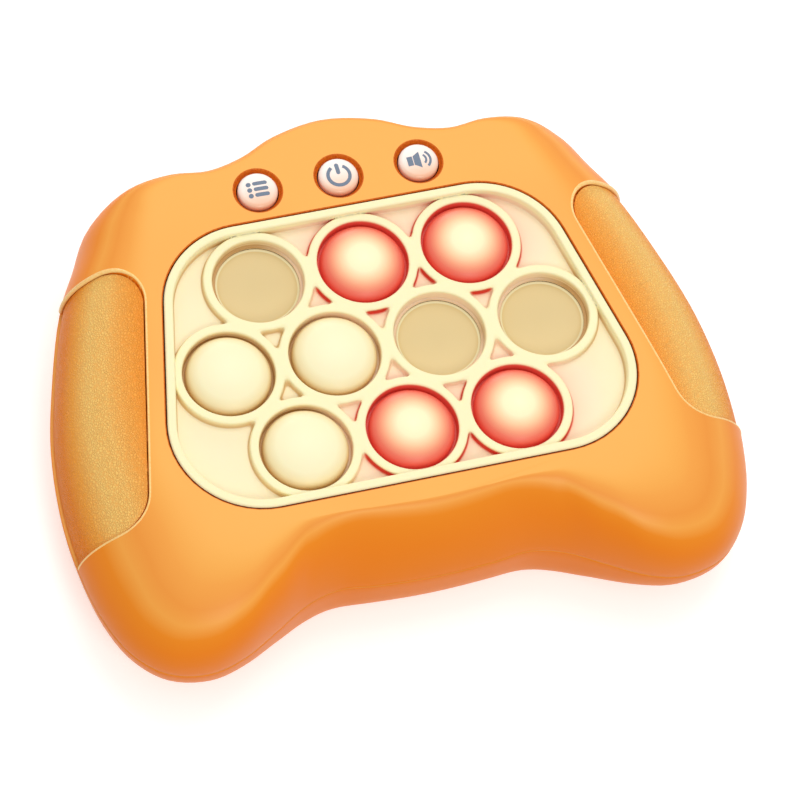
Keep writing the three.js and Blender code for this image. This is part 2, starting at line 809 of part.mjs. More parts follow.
function mainBoard() {
  const [frontX, frontY] = panelScrews[1];
  const [backX, backY] = panelScrews[3];
  const edge = bossRadius + boardMargin;
  const outline = roundedShape([
    new THREE.Vector2(frontX + edge, frontY - edge),
    new THREE.Vector2(backX + edge, backY + edge),
    new THREE.Vector2(-backX - edge, backY + edge),
    new THREE.Vector2(-frontX - edge, frontY - edge),
  ], boardCorner);
  let board = prism(outline, boardUnder, boardTop);
  for (const { x, y } of bubblePlaces) {
    board = board.add(block(ledWidth, ledWidth, boardTop, boardTop + ledHeight, x, y + ledAway));
  }
  const chipY = speakerY + speakerRadius - chipWidth;
  board = board.add(block(chipWidth, chipWidth, boardUnder - chipHeight, boardUnder, -chipWidth, chipY));
  for (const [x, y] of panelScrews) board = board.subtract(screwPilot(x, y, 0, plateau));
  return board;
}

// A square push switch standing on height 0, with its round plunger up.
function pushSwitch() {
  const plunger = disc(plungerRadius, 0, switchHeight + plungerHeight, 0, 0, smallSides);
  return block(switchWidth, switchWidth, 0, switchHeight).add(plunger);
}

function buttonBoard() {
  const outline = rectangle(stakeX + stakeRadius, buttonBoardDepth / 2, stakeRadius, buttonY);
  let board = prism(outline, buttonBoardTop - boardThickness, buttonBoardTop);
  for (const side of [-1, 1]) {
    board = board.subtract(disc(stakePin + runGap, 0, plateau, side * stakeX, buttonY, smallSides));
  }
  return board;
}

// An AA cell standing on its negative end, with the middle of its length at height 0.
function cell() {
  const half = (cellLength + cellNub) / 2;
  return revolve([
    [0, -half],
    [cellRadius, -half],
    [cellRadius, half - cellNub],
    [cellNubRadius, half - cellNub],
    [cellNubRadius, half],
    [0, half],
  ], roundSides);
}

function contactSpring(x, y, way) {
  const count = springTurns * springSteps;
  const points = Array.from({ length: count + 1 }, (_, i) => {
    const share = i / count;
    const angle = share * springTurns * 2 * Math.PI;
    const radius = springRadius + (springTip - springRadius) * share;
    return [x + way * springReach * share, y + radius * Math.cos(angle), cellAxis + radius * Math.sin(angle)];
  });
  return wireSweep(points, springWire, count, springSides);
}

function wireSweep(points, radius, steps, sides) {
  const corners = Array.from({ length: sides }, (_, i) => {
    const angle = (i / sides) * 2 * Math.PI;
    return new THREE.Vector2(radius * Math.cos(angle), radius * Math.sin(angle));
  });
  const curve = new THREE.CatmullRomCurve3(points.map((p) => new THREE.Vector3(...p)));
  return solidOf(new THREE.ExtrudeGeometry(new THREE.Shape(corners), { steps, extrudePath: curve }));
}

// A contact plate at one end of the box, over the cells from first to last.
function contactPlate(side, first, last) {
  const reach = cellRadius - plateMargin;
  const width = (last - first) * cellPitch + 2 * reach;
  const y = (cellY(first) + cellY(last)) / 2;
  return block(plateThickness, width, cellAxis - reach, cellAxis + reach, side * plateX, y);
}

function contactTag(side) {
  return block(plateThickness, tagWidth, cellAxis, roofTop + tagRise, side * plateX, tagY(side));
}

function springAt(side, index) {
  return contactSpring(side * plateX, cellY(index), -side);
}

function speaker() {
  return revolve([
    [0, 0],
    [speakerRadius, 0],
    [speakerRadius, speakerRim],
    [magnetRadius, speakerRim + magnetHeight / 3],
    [magnetRadius, speakerRim + magnetHeight],
    [0, speakerRim + magnetHeight],
  ]);
}

// A lead from the rim of the speaker up to the underside of the main board.
function speakerLead(way) {
  const x = (speakerRadius + magnetRadius) / 2;
  const y = speakerY + way * wirePitch / 2;
  const foot = wall + seatGap + speakerRim + magnetHeight / 3 + seatGap;
  const head = boardUnder - seatGap;
  return wireSweep([
    [x, y, foot],
    [x, y, foot + leadBow],
    [x + leadBow, y + leadBow, head - leadBow],
    [x + leadBow, y + leadBow, head],
  ], wireRadius, leadSteps, wireSides);
}

// A lead from a contact's tag over the roof of the battery box, with its end flat under the main board.
function batteryLead(side) {
  const y = tagY(side);
  const start = plateX - plateThickness / 2 - seatGap;
  const low = roofTop + seatGap + wireRadius;
  const high = boardUnder - seatGap - wireRadius;
  return wireSweep([
    [side * start, y, low],
    [side * (start - leadReach / 3), y, low],
    [side * (start - leadReach * 2 / 3), y, high],
    [side * (start - leadReach), y, high],
  ], wireRadius, leadSteps, wireSides);
}

// The flat cable from under the button board down to the back edge of the main board.
function boardRibbon() {
  const high = buttonBoardTop - boardThickness - seatGap - ribbonThickness / 2;
  const low = boardTop + seatGap + ribbonThickness / 2;
  const edge = buttonY - buttonBoardDepth / 2;
  const path = new THREE.CatmullRomCurve3([
    new THREE.Vector3(0, edge + ribbonReach, high),
    new THREE.Vector3(0, edge + ribbonReach / 2, high),
    new THREE.Vector3(0, edge - ribbonReach / 2, low),
    new THREE.Vector3(0, edge - ribbonReach, low),
  ]);
  const halfWide = ribbonWidth / 2;
  const halfThick = ribbonThickness / 2;
  const section = new THREE.Shape([
    new THREE.Vector2(-halfWide, -halfThick),
    new THREE.Vector2(halfWide, -halfThick),
    new THREE.Vector2(halfWide, halfThick),
    new THREE.Vector2(-halfWide, halfThick),
  ]);
  return solidOf(new THREE.ExtrudeGeometry(section, { steps: leadSteps, extrudePath: path }));
}

// Materials

function material(color, roughness, metalness = 0) {
  return new THREE.MeshStandardMaterial({ color, roughness, metalness });
}

const orangePlastic = material('#f5a04a', 0.38);
const orangeGrip = material('#f2953a', 0.6);
const creamSilicone = material('#fff2cc', 0.5);
const litSilicone = material('#f5806a', 0.5);
const tanSilicone = material('#e5c88a', 0.55);
const whitePlastic = material('#fbe6da', 0.35);
const lightPlastic = material('#f2f2ee', 0.5);
const boardGreen = material('#2c6b45', 0.5);
const switchBlack = material('#26262a', 0.5);
const steel = material('#b9bcc0', 0.35, 1);
const cellJacket = material('#4d5a66', 0.4);
const redWire = material('#b3261c', 0.5);
const blackWire = material('#1e1e20', 0.5);
const greyRibbon = material('#9a9ca0', 0.6);

// Assembly

const game = new THREE.Group();

function piece(name, solid, finish, x = 0, y = 0, z = 0, turn = 0) {
  const mesh = new THREE.Mesh(geometryOf(solid), finish);
  mesh.name = name;
  mesh.position.set(x, y, z);
  mesh.rotation.y = turn;
  game.add(mesh);
}

piece('top_shell', topShell(), orangePlastic);
piece('bottom_shell', bottomShell(), orangePlastic);
piece('left_grip', grip(-1), orangeGrip);
piece('right_grip', grip(1), orangeGrip);
piece('bubble_mat', bubbleMat(), creamSilicone);
piece('light_frame', lightFrame(), lightPlastic);
piece('main_board', mainBoard(), boardGreen);
piece('button_board', buttonBoard(), boardGreen);

const raised = raisedBubble();
const pressed = pressedBubble();
for (const { name, x, y } of bubblePlaces) {
  const down = pressedBubbles.includes(name);
  const lit = litBubbles.includes(name);
  const silicone = lit ? litSilicone : creamSilicone;
  piece(`bubble_${name}`, down ? pressed : raised, down ? tanSilicone : silicone, x, y, bubbleEdge);
  piece(`switch_${name}`, pushSwitch(), switchBlack, x, y, boardTop + seatGap);
}

['menu', 'power', 'sound'].forEach((name, i) => {
  const x = (i - 1) * buttonPitch;
  piece(`${name}_button`, button(), whitePlastic, x, buttonY, 0);
  piece(`${name}_switch`, pushSwitch(), switchBlack, x, buttonY, buttonBoardTop + seatGap);
});

piece('battery_door', batteryDoor(), orangePlastic);
const doorScrew = screw(doorScrewRadius, doorScrewHeadRadius, doorScrewHeadHeight, doorScrewLength);
piece('door_screw', doorScrew, steel, 0, doorScrewY, seatGap);

for (let i = 0; i < cellCount; i += 1) {
  const way = i % 2 ? -1 : 1;
  const away = way * springHeight / 2;
  piece(`battery_${i + 1}`, cell(), cellJacket, away, cellY(i), cellAxis, way * Math.PI / 2);
}
piece('negative_contact', contactPlate(-1, 0, 0).add(springAt(-1, 0)).add(contactTag(-1)), steel);
piece('left_contact', contactPlate(-1, 1, lastCell).add(springAt(-1, lastCell)), steel);
piece('right_contact', contactPlate(1, 0, 1).add(springAt(1, 1)), steel);
piece('positive_contact', contactPlate(1, lastCell, lastCell).add(contactTag(1)), steel);

piece('speaker', speaker(), switchBlack, 0, speakerY, wall + seatGap);
piece('speaker_lead_black', speakerLead(-1), blackWire);
piece('speaker_lead_red', speakerLead(1), redWire);
piece('battery_lead_black', batteryLead(-1), blackWire);
piece('battery_lead_red', batteryLead(1), redWire);
piece('board_ribbon', boardRibbon(), greyRibbon);

const caseScrewLength = seamHigh + screwBite - caseScrewRecess + screwHeadHeight - overrun;
for (const { name, x, y } of caseScrews) {
  const body = screw(screwRadius, screwHeadRadius, screwHeadHeight, caseScrewLength);
  piece(`case_screw_${name}`, body, steel, x, y, caseScrewRecess - screwHeadHeight - seatGap);
}
const panelScrewLength = ceiling - boardUnder + screwHeadHeight - overrun;
panelScrews.forEach(([x, y], i) => {
  const body = screw(screwRadius, screwHeadRadius, screwHeadHeight, panelScrewLength);
  const name = ['front_left', 'front_right', 'back_left', 'back_right'][i];
  piece(`panel_screw_${name}`, body, steel, x, y, boardUnder - screwHeadHeight - seatGap);
});

export default game;
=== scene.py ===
import math
import bmesh
import bpy
import numpy as np
from mathutils import Matrix, Vector
from mathutils.bvhtree import BVHTree
from mathutils.geometry import delaunay_2d_cdt
from mathutils.interpolate import poly_3d_calc


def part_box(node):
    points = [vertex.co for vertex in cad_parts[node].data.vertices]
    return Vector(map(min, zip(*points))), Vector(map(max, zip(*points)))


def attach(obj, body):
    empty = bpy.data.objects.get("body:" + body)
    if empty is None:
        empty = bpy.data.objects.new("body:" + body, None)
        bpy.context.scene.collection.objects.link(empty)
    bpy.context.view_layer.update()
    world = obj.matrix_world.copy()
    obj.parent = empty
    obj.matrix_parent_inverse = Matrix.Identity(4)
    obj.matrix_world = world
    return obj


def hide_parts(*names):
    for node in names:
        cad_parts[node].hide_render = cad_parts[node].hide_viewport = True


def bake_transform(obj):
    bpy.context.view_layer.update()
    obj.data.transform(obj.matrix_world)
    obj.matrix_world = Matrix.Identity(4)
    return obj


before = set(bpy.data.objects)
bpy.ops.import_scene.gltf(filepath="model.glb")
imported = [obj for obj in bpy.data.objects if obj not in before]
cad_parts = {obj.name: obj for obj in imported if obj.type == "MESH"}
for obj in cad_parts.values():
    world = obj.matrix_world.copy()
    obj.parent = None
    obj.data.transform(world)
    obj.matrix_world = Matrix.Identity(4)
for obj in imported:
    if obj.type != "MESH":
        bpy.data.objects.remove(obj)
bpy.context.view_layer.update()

mm = 0.001  # every size below is in millimetres
scene = bpy.context.scene


def addObject(name, data):
    added = bpy.data.objects.new(name, data)
    scene.collection.objects.link(added)
    return added


view = {"azimuth": -28.311, "elevation": 62.657, "roll": 14.551, "distance": 1000,
        "across": 2.932, "up": -13.581, "target": (0, 1.25, 36), "lens": 189.35, "sensor": 36, "nearest": 10}


def placeCamera():
    azimuth, elevation, roll = (math.radians(view[key]) for key in ("azimuth", "elevation", "roll"))
    flat = math.cos(elevation)
    back = Vector((math.sin(azimuth) * flat, -math.cos(azimuth) * flat, math.sin(elevation)))
    level = Vector((math.cos(azimuth), math.sin(azimuth), 0))
    rise = back.cross(level)
    right = level * math.cos(roll) + rise * math.sin(roll)
    up = rise * math.cos(roll) - level * math.sin(roll)
    eye = Vector(view["target"]) + back * view["distance"] + right * view["across"] + up * view["up"]
    camera = addObject("camera", bpy.data.cameras.new("camera"))
    camera.matrix_world = Matrix.Translation(eye * mm) @ Matrix((right, up, back)).transposed().to_4x4()
    camera.data.lens = view["lens"]
    camera.data.sensor_width = view["sensor"]
    camera.data.clip_start = view["nearest"] * mm
    scene.camera = camera


placeCamera()
print("camera placed")


def linear(hexText):
    channels = [int(hexText[i:i + 2], 16) / 255 for i in (1, 3, 5)]
    return [c / 12.92 if c <= 0.04045 else ((c + 0.055) / 1.055) ** 2.4 for c in channels] + [1]


# adds one node, sets its settings, sockets and ramp stops, and joins the sockets named in links
def addNode(tree, kind, settings=None, sockets=None, links=None, stops=()):
    node = tree.nodes.new("ShaderNode" + kind)
    for key, value in (settings or {}).items():
        setattr(node, key, value)
    for key, value in (sockets or {}).items():
        node.inputs[key].default_value = value
    for key, source in (links or {}).items():
        tree.links.new(source, node.inputs[key])
    marks = node.color_ramp.elements if stops else []
    while len(marks) < len(stops):
        marks.new(0.5)
    for mark, (place, colour) in zip(marks, stops):
        mark.position, mark.color = place, linear(colour)
    return node


# a material with its shader's own values set
def newMaterial(name, base, rough, **values):
    material = bpy.data.materials.new(name)
    material.use_nodes = True
    tree = material.node_tree
    shader = tree.nodes["Principled BSDF"]
    shader.inputs["Base Color"].default_value = linear(base)
    shader.inputs["Roughness"].default_value = rough
    for key, value in values.items():
        shader.inputs[key.replace("_", " ")].default_value = value
    return material, tree, shader


# raises the surface by a depth in millimetres where a value is high
def raiseBy(tree, shader, height, depth):
    bump = addNode(tree, "Bump", None, {"Strength": 1, "Distance": depth * mm}, {"Height": height})
    tree.links.new(bump.outputs["Normal"], shader.inputs["Normal"])


# colours the surface by a ramp of hex colours along a value
def paintAlong(tree, shader, value, stops):
    shade = addNode(tree, "ValToRGB", links={"Fac": value}, stops=stops).outputs["Color"]
    tree.links.new(shade, shader.inputs["Base Color"])
    return shade


# the share of the way between two heights, widths or depths of the object in millimetres
def shareAlong(tree, axis, first, last):
    place = addNode(tree, "TexCoord")
    along = addNode(tree, "SeparateXYZ", None, None, {"Vector": place.outputs["Object"]}).outputs[axis]
    return addNode(tree, "MapRange", None, {"From Min": first * mm, "From Max": last * mm},
                   {"Value": along}).outputs["Result"]


# grain in the surface: noise of a size in millimetres, as a bump and as a slight change of the roughness;
# the moulds' real grain is finer, and it is drawn as coarse as it needs to show
def addGrain(tree, shader, size, depth, roughSpread=0.05, detail=2):
    place = addNode(tree, "TexCoord")
    noise = addNode(tree, "TexNoise", None, {"Scale": 1 / (size * mm), "Detail": detail},
                    {"Vector": place.outputs["Object"]})
    raiseBy(tree, shader, noise.outputs["Fac"], depth)
    rough = shader.inputs["Roughness"].default_value
    spread = addNode(tree, "MapRange", None, {"To Min": rough - roughSpread, "To Max": rough + roughSpread},
                     {"Value": noise.outputs["Fac"]})
    tree.links.new(spread.outputs["Result"], shader.inputs["Roughness"])
    return noise


# a material of two close tones that follow its grain
def tonedMaterial(name, tones, rough, size, depth, roughSpread=0.05, detail=2, apart=0.2, **values):
    material, tree, shader = newMaterial(name, tones[0], rough, **values)
    noise = addGrain(tree, shader, size, depth, roughSpread, detail)
    paintAlong(tree, shader, noise.outputs["Fac"], [(0.5 - apart, tones[0]), (0.5 + apart, tones[1])])
    return material


# distance in millimetres, seen from above, to the nearest of some places
def addDistance(tree, places):
    spot = addNode(tree, "TexCoord")
    flat = addNode(tree, "VectorMath", {"operation": "MULTIPLY"}, {1: (1 / mm, 1 / mm, 0)},
                   {0: spot.outputs["Object"]})
    nearest = None
    for x, y in places:
        away = addNode(tree, "VectorMath", {"operation": "DISTANCE"}, {1: (x, y, 0)},
                       {0: flat.outputs["Vector"]}).outputs["Value"]
        nearest = away if nearest is None else addNode(tree, "Math", {"operation": "MINIMUM"}, None,
                                                       {0: nearest, 1: away}).outputs[0]
    return nearest


plastics = {"case": "#f5952a", "satin": 0.37, "shine": 0.18, "cloud": 45, "drift": 0.06,
            # the moulds' grain: its width and depth in millimetres and how far the roughness follows it
            "grain": (0.5, 0.004, 0.03), "fineGrain": (0.5, 0.003, 0.03),
            # two tones and the roughness: a deeper orange as painted shade on the cut edges of openings, and
            # a pale orange as painted highlight on the grips' lips
            "recess": (["#e0700f", "#c65405"], 0.45), "lip": (["#ffd98c", "#ffc66c"], 0.3),
            # the grips' pebbles in millimetres: width, depth, in what width and how far they wander, then the
            # share of one that its slope takes, and the colour, width and strength of the painted shade in
            # their valleys
            "pebble": 0.62, "pebbleDepth": 0.12, "wander": (1.1, 0.7), "slope": 0.3,
            "valley": ("#e2740c", 0.16, 0.4),
            # painted light by how far the surface faces up: on the case paler on top, a painted highlight
            # where the top turns down and deeper orange on the steep sides; on the grips a painted highlight
            # band
            "sides": [(0, "#f58009"), (0.45, "#f78609"), (0.66, "#f68d17"), (0.8, "#f9a746"),
                      (0.89, "#f39a3e"), (0.96, "#f6a448"), (1, "#f9b253")],
            "gripHighlight": [(0, "#f9840c"), (0.42, "#fa8c16"), (0.62, "#ffae44"), (0.79, "#ffd074"),
                     (0.9, "#ffca6e"), (0.98, "#fda944"), (1, "#f8982c")]}


# the share by which the surface faces up, from 0 at its sides to 1 on top
def facingUp(tree):
    place = addNode(tree, "TexCoord")
    return addNode(tree, "SeparateXYZ", None, None, {"Vector": place.outputs["Normal"]}).outputs["Z"]


# ABS, injection moulded in a finely blasted tool: even orange with a soft broad shine, with painted light and
# shade by how far the surface faces up
def caseAbs():
    material, tree, shader = newMaterial("orangeAbs", plastics["case"], plastics["satin"], IOR=1.54,
                                         Specular_IOR_Level=plastics["shine"])
    addGrain(tree, shader, *plastics["grain"])
    place = addNode(tree, "TexCoord")
    cloud = addNode(tree, "TexNoise", None, {"Scale": 1 / (plastics["cloud"] * mm), "Detail": 1},
                    {"Vector": place.outputs["Object"]})
    flow = addNode(tree, "Math", {"operation": "MULTIPLY_ADD"},
                   {1: plastics["drift"], 2: -plastics["drift"] / 2}, {0: cloud.outputs["Fac"]})
    # painted light: the orange follows how far the surface faces up, with a little random cloud in it
    share = addNode(tree, "Math", {"operation": "ADD"}, None, {0: facingUp(tree), 1: flow.outputs[0]})
    paintAlong(tree, shader, share.outputs[0], plastics["sides"])
    return material


# painted shade: a deeper copy of the same ABS on the cut edges of its openings, for the shade that falls
# there
def recessShadeAbs():
    return tonedMaterial("recessShadeAbs", *plastics["recess"], *plastics["grain"], IOR=1.54,
                         Specular_IOR_Level=0.2)


# the edge that the shell draws round each grip, painted pale along its thin rounded lip as a painted
# highlight
def lipHighlightAbs():
    return tonedMaterial("lipHighlightAbs", *plastics["lip"], *plastics["fineGrain"], IOR=1.54)


# ABS moulded in a tool etched with a leather grain, drawn as coarse as it needs to show: pebbles that break
# the shine into small sparks, with a painted highlight band along the grip and painted shade in their valleys
def gripAbs():
    material, tree, shader = newMaterial("pebbledAbs", plastics["case"], 0.46, IOR=1.54,
                                         Specular_IOR_Level=0.15)
    place = addNode(tree, "TexCoord")
    wide, far = plastics["wander"]
    warp = addNode(tree, "TexNoise", None, {"Scale": 1 / (wide * mm), "Detail": 1},
                   {"Vector": place.outputs["Object"]})
    bend = addNode(tree, "VectorMath", {"operation": "MULTIPLY_ADD"}, {1: (far * mm, far * mm, far * mm)},
                   {0: warp.outputs["Color"], 2: place.outputs["Object"]})
    cells = addNode(tree, "TexVoronoi", {"feature": "DISTANCE_TO_EDGE"},
                    {"Scale": 1 / (plastics["pebble"] * mm)}, {"Vector": bend.outputs["Vector"]})
    swell = addNode(tree, "MapRange", {"interpolation_type": "SMOOTHSTEP"}, {"From Max": plastics["slope"]},
                    {"Value": cells.outputs["Distance"]})
    raiseBy(tree, shader, swell.outputs["Result"], plastics["pebbleDepth"])
    # painted highlight: a golden band along the grip by how far it faces up
    shade = addNode(tree, "ValToRGB", links={"Fac": facingUp(tree)}, stops=plastics["gripHighlight"])
    # painted shade: the valleys between the pebbles are darker
    colour, wide, strength = plastics["valley"]
    valley = addNode(tree, "MapRange", None, {"From Min": wide, "From Max": 0, "To Max": strength},
                     {"Value": cells.outputs["Distance"]})
    mix = addNode(tree, "Mix", {"data_type": "RGBA"}, {7: linear(colour)},
                  {0: valley.outputs["Result"], 6: shade.outputs["Color"]})
    tree.links.new(mix.outputs[2], shader.inputs["Base Color"])
    return material


caseShape = {
    "halfWidth": 83.29, "frontReach": 65.74, "backReach": 63.59, "gridY": 1.25, "seam": 16, "seamGap": 0.3,
    "plateau": 37, "wall": 2.2, "stations": 220, "levels": 30, "edgeRound": 0.3, "edgeSteps": 3,
    # how far a cutter runs past what it cuts, and the step that keeps two of its corners apart
    "past": 2, "step": 0.01,
    # how near a carved corner lies to the uncarved skin, and how much it faces its way, to take its shading
    "evenGap": 0.01, "evenTurn": 0.85,
    # seam x, y, crown x, y, belly x, y as shares of the half width and the reach, then how square they turn
    "shares": [
        (0, -0.808, 0, -0.635, 0, -0.69, 1.45, 3.2),
        (0.168, -0.8, 0.156, -0.629, 0.156, -0.682, 1.37, 3.2),
        (0.288, -0.785, 0.276, -0.62, 0.264, -0.67, 1.45, 4),
        (0.384, -0.818, 0.36, -0.62, 0.342, -0.68, 1.6, 4),
        (0.484, -0.89, 0.432, -0.613, 0.408, -0.69, 2.2, 3),
        (0.6, -0.97, 0.492, -0.59, 0.474, -0.696, 2.5, 2.4),
        (0.702, -1, 0.546, -0.566, 0.528, -0.681, 2.4, 2.4),
        (0.818, -0.968, 0.6, -0.523, 0.582, -0.643, 2.3, 2.4),
        (0.902, -0.87, 0.648, -0.466, 0.624, -0.582, 2.1, 2.4),
        (0.957, -0.719, 0.688, -0.393, 0.66, -0.499, 1.9, 2.4),
        (0.99, -0.514, 0.711, -0.295, 0.69, -0.393, 1.85, 2.2),
        (1, -0.301, 0.709, -0.219, 0.702, -0.242, 1.85, 2),
        (0.98, -0.03, 0.677, -0.03, 0.691, -0.03, 2, 2),
        (0.932, 0.223, 0.634, 0.189, 0.666, 0.189, 2.15, 2),
        (0.856, 0.52, 0.598, 0.456, 0.624, 0.425, 2.2, 2),
        (0.8, 0.652, 0.57, 0.597, 0.594, 0.535, 2.2, 2),
        (0.728, 0.808, 0.54, 0.708, 0.552, 0.621, 2.3, 2),
        (0.622, 0.874, 0.492, 0.786, 0.486, 0.684, 3.4, 2.2),
        (0.492, 0.885, 0.444, 0.821, 0.408, 0.715, 4.1, 2.3),
        (0.372, 0.868, 0.354, 0.815, 0.324, 0.731, 4.2, 2.3),
        (0.264, 0.899, 0.252, 0.841, 0.234, 0.763, 4.5, 2.3),
        (0.156, 0.962, 0.15, 0.898, 0.138, 0.81, 4.8, 2.3),
        (0, 1, 0, 0.94, 0, 0.838, 4.4, 2.3)]}


# a point of a closed centripetal spline, at a share of the way round it
def curveAt(points, share):
    count = len(points)
    first = math.floor(share * count)
    step = share * count - first
    a, b, c, d = (points[(first + i - 1) % count] for i in range(4))
    near, mid, far = (max(float(np.sum((q - p) ** 2)), 1e-12) ** 0.25 for p, q in ((a, b), (b, c), (c, d)))
    mid = 1 if mid < 1e-4 else mid
    near, far = (mid if gap < 1e-4 else gap for gap in (near, far))
    start = ((b - a) / near - (c - a) / (near + mid) + (c - b) / mid) * mid
    end = ((c - b) / mid - (d - b) / (mid + far) + (d - c) / far) * mid
    bend = -3 * b + 3 * c - 2 * start - end
    return b + start * step + bend * step ** 2 + (2 * b - 2 * c + start + end) * step ** 3


def makeStations():
    rows = np.array(caseShape["shares"], float)
    count = caseShape["stations"]
    result = {}
    for key, column in (("seam", 0), ("crown", 2), ("belly", 4)):
        half = rows[:, column:column + 2].copy()
        half[:, 1] *= np.where(half[:, 1] < 0, caseShape["frontReach"], caseShape["backReach"])
        half[:, 1] += caseShape["gridY"]
        half[:, 0] *= caseShape["halfWidth"]
        other = half[-2:0:-1] * (-1, 1)
        ring = np.vstack([half, other])
        result[key] = np.array([curveAt(ring, i / count) for i in range(count)])
        if key == "seam":
            along = np.array([curveAt(ring, i / count + 1e-4) - curveAt(ring, i / count - 1e-4)
                              for i in range(count)])
            along /= np.linalg.norm(along, axis=1)[:, None]
            result["inward"] = np.column_stack([-along[:, 1], along[:, 0]])
    turns = np.vstack([rows[:, 6:], rows[-2:0:-1, 6:]])
    turned = np.array([curveAt(turns, i / count) for i in range(count)])
    result["crownTurn"], result["bellyTurn"] = turned[:, 0], turned[:, 1]
    return result


stations = makeStations()


# one loop of the case, a share of the way from the seam to its flat top or belly
def caseLoop(side, inset, base, face, share):
    angle = share * math.pi / 2
    power = 2 / stations[side + "Turn"]
    across = np.zeros(len(power)) if share >= 1 else math.cos(angle) ** power
    foot = stations["seam"] + stations["inward"] * inset
    flat = stations[side] + (foot - stations[side]) * across[:, None]
    return np.column_stack([flat, base + (face - base) * math.sin(angle) ** power])


# the loops of one half, from the seam to its flat face, with the edge at the seam rounded where asked
def caseLoops(side, inset, below=0, rounded=False):
    up = 1 if side == "crown" else -1
    base = caseShape["seam"] + up * caseShape["seamGap"] / 2
    face = caseShape["plateau"] - inset if up > 0 else inset
    count = caseShape["levels"]
    size, steps = (caseShape["edgeRound"], caseShape["edgeSteps"]) if rounded else (0, 0)
    loops = []
    for i in range(steps + 1):
        turn = i / max(steps, 1) * math.pi / 2
        lip = caseLoop(side, inset + size * (1 - math.sin(turn)), base, face, 0)
        lip[:, 2] = base + up * size * (1 - math.cos(turn))
        loops.append(lip)
    for i in range(1, count + 1):
        loop = caseLoop(side, inset, base, face, i / count)
        loop[:, 2] = base + up * np.maximum(up * (loop[:, 2] - base), size * (1 + i / count))
        loops.append(loop)
    if below:
        first = loops[0].copy()
        first[:, 2] -= up * below
        loops.insert(0, first)
    return loops


def addPiece(name, points, faces, finish=None, sharp=40, weighted=True):
    mesh = bpy.data.meshes.new(name)
    mesh.from_pydata((np.array(points, float) * mm).tolist(), [], faces)
    piece = addObject(name, mesh)
    if finish:
        dress(piece, finish, sharp, weighted)
    return piece


def dress(piece, finish, sharp, weighted=True):
    piece.data.materials.append(finish)
    smooth(piece, sharp, weighted)


# smooth shading with sharp edges kept, and flat faces kept flat
def smooth(piece, sharp, weighted=True):
    mesh = piece.data
    mesh.polygons.foreach_set("use_smooth", [True] * len(mesh.polygons))
    mesh.set_sharp_from_angle(angle=math.radians(sharp))
    if weighted:
        even = piece.modifiers.new("even", "WEIGHTED_NORMAL")
        even.keep_sharp = True
        applyModifiers(piece)


def applyModifiers(piece):
    layers = bpy.context.evaluated_depsgraph_get()
    layers.update()
    mesh = bpy.data.meshes.new_from_object(piece.evaluated_get(layers))
    piece.modifiers.clear()
    old, piece.data = piece.data, mesh
    bpy.data.meshes.remove(old)


# gives a carved skin back the even shading of the uncarved one, so that no cut shows as a dent
def evenShading(piece, side, inset=0):
    source = addLoft("uncut", caseLoops(side, inset, rounded=True))
    mesh, uncut = piece.data, source.data
    tree = BVHTree.FromPolygons([vert.co for vert in uncut.vertices],
                                [face.vertices for face in uncut.polygons])
    corners = [corner.vector.copy() for corner in mesh.corner_normals]
    found = {}
    for vert in mesh.vertices:
        place, _, index, gap = tree.find_nearest(vert.co)
        near = [uncut.vertices[i] for i in uncut.polygons[index].vertices]
        if gap < caseShape["evenGap"] * mm and len(near) == 4:
            weights = poly_3d_calc([other.co for other in near], place)
            normal = sum((other.normal * w for other, w in zip(near, weights)), Vector())
            found[vert.index] = normal.normalized()
    for face in mesh.polygons:
        for loop in face.loop_indices:
            normal = found.get(mesh.loops[loop].vertex_index)
            if normal and normal.dot(face.normal) > caseShape["evenTurn"]:
                corners[loop] = normal
    mesh.normals_split_custom_set(corners)
    bpy.data.objects.remove(source)


# a closed or open skin through loops of equal length, the ends closed by flat faces if asked
def loftFaces(count, levels, closed=True):
    faces = []
    for level in range(levels - 1):
        for i in range(count):
            a, b = level * count + i, level * count + (i + 1) % count
            faces.append((a, b, b + count, a + count))
    if closed:
        faces.append(tuple(reversed(range(count))))
        faces.append(tuple(range((levels - 1) * count, levels * count)))
    return faces


def loftForm(loops):
    return np.vstack(loops), loftFaces(len(loops[0]), len(loops))


def addLoft(name, loops, finish=None):
    points, faces = loftForm(loops)
    if loops[0][0][2] > loops[-1][0][2]:
        faces = [face[::-1] for face in faces]
    return addPiece(name, points, faces, finish)


# a turned form about an upright axis through place, its profile listed from the top middle outward
def turnedForm(profile, place, sides=64):
    points, faces, rings = [], [], []
    for radius, height in profile:
        if radius < 1e-6:
            rings.append([len(points)] * sides)
            points.append((place[0], place[1], height))
        else:
            rings.append(list(range(len(points), len(points) + sides)))
            for i in range(sides):
                angle = 2 * math.pi * i / sides
                across, along = radius * math.cos(angle), radius * math.sin(angle)
                points.append((place[0] + across, place[1] + along, height))
    for upper, lower in zip(rings, rings[1:]):
        for i in range(sides):
            j = (i + 1) % sides
            face = tuple(dict.fromkeys((upper[i], lower[i], lower[j], upper[j])))
            if len(face) > 2:
                faces.append(face)
    return points, faces


# an upright round pin, to add or to cut with
def pinForm(radius, top, foot, place, sides):
    return turnedForm([(0, top), (radius, top), (radius, foot), (0, foot)], place, sides)


# one half of the case as a hollow skin, inset from its surface
def caseSkin(name, side, inset, wall, finish=None):
    skin = addLoft(name, caseLoops(side, inset, rounded=True), finish)
    return carve(skin, addLoft("inside", caseLoops(side, inset + wall, below=caseShape["past"]), finish))


# several closed forms in one mesh, to cut or join in one go
def joinForms(name, forms, finish=None, **looks):
    points, faces = [], []
    for formPoints, formFaces in forms:
        start = len(points)
        points.extend(map(tuple, formPoints))
        faces.extend(tuple(i + start for i in face) for face in formFaces)
    return addPiece(name, points, faces, finish, **looks)


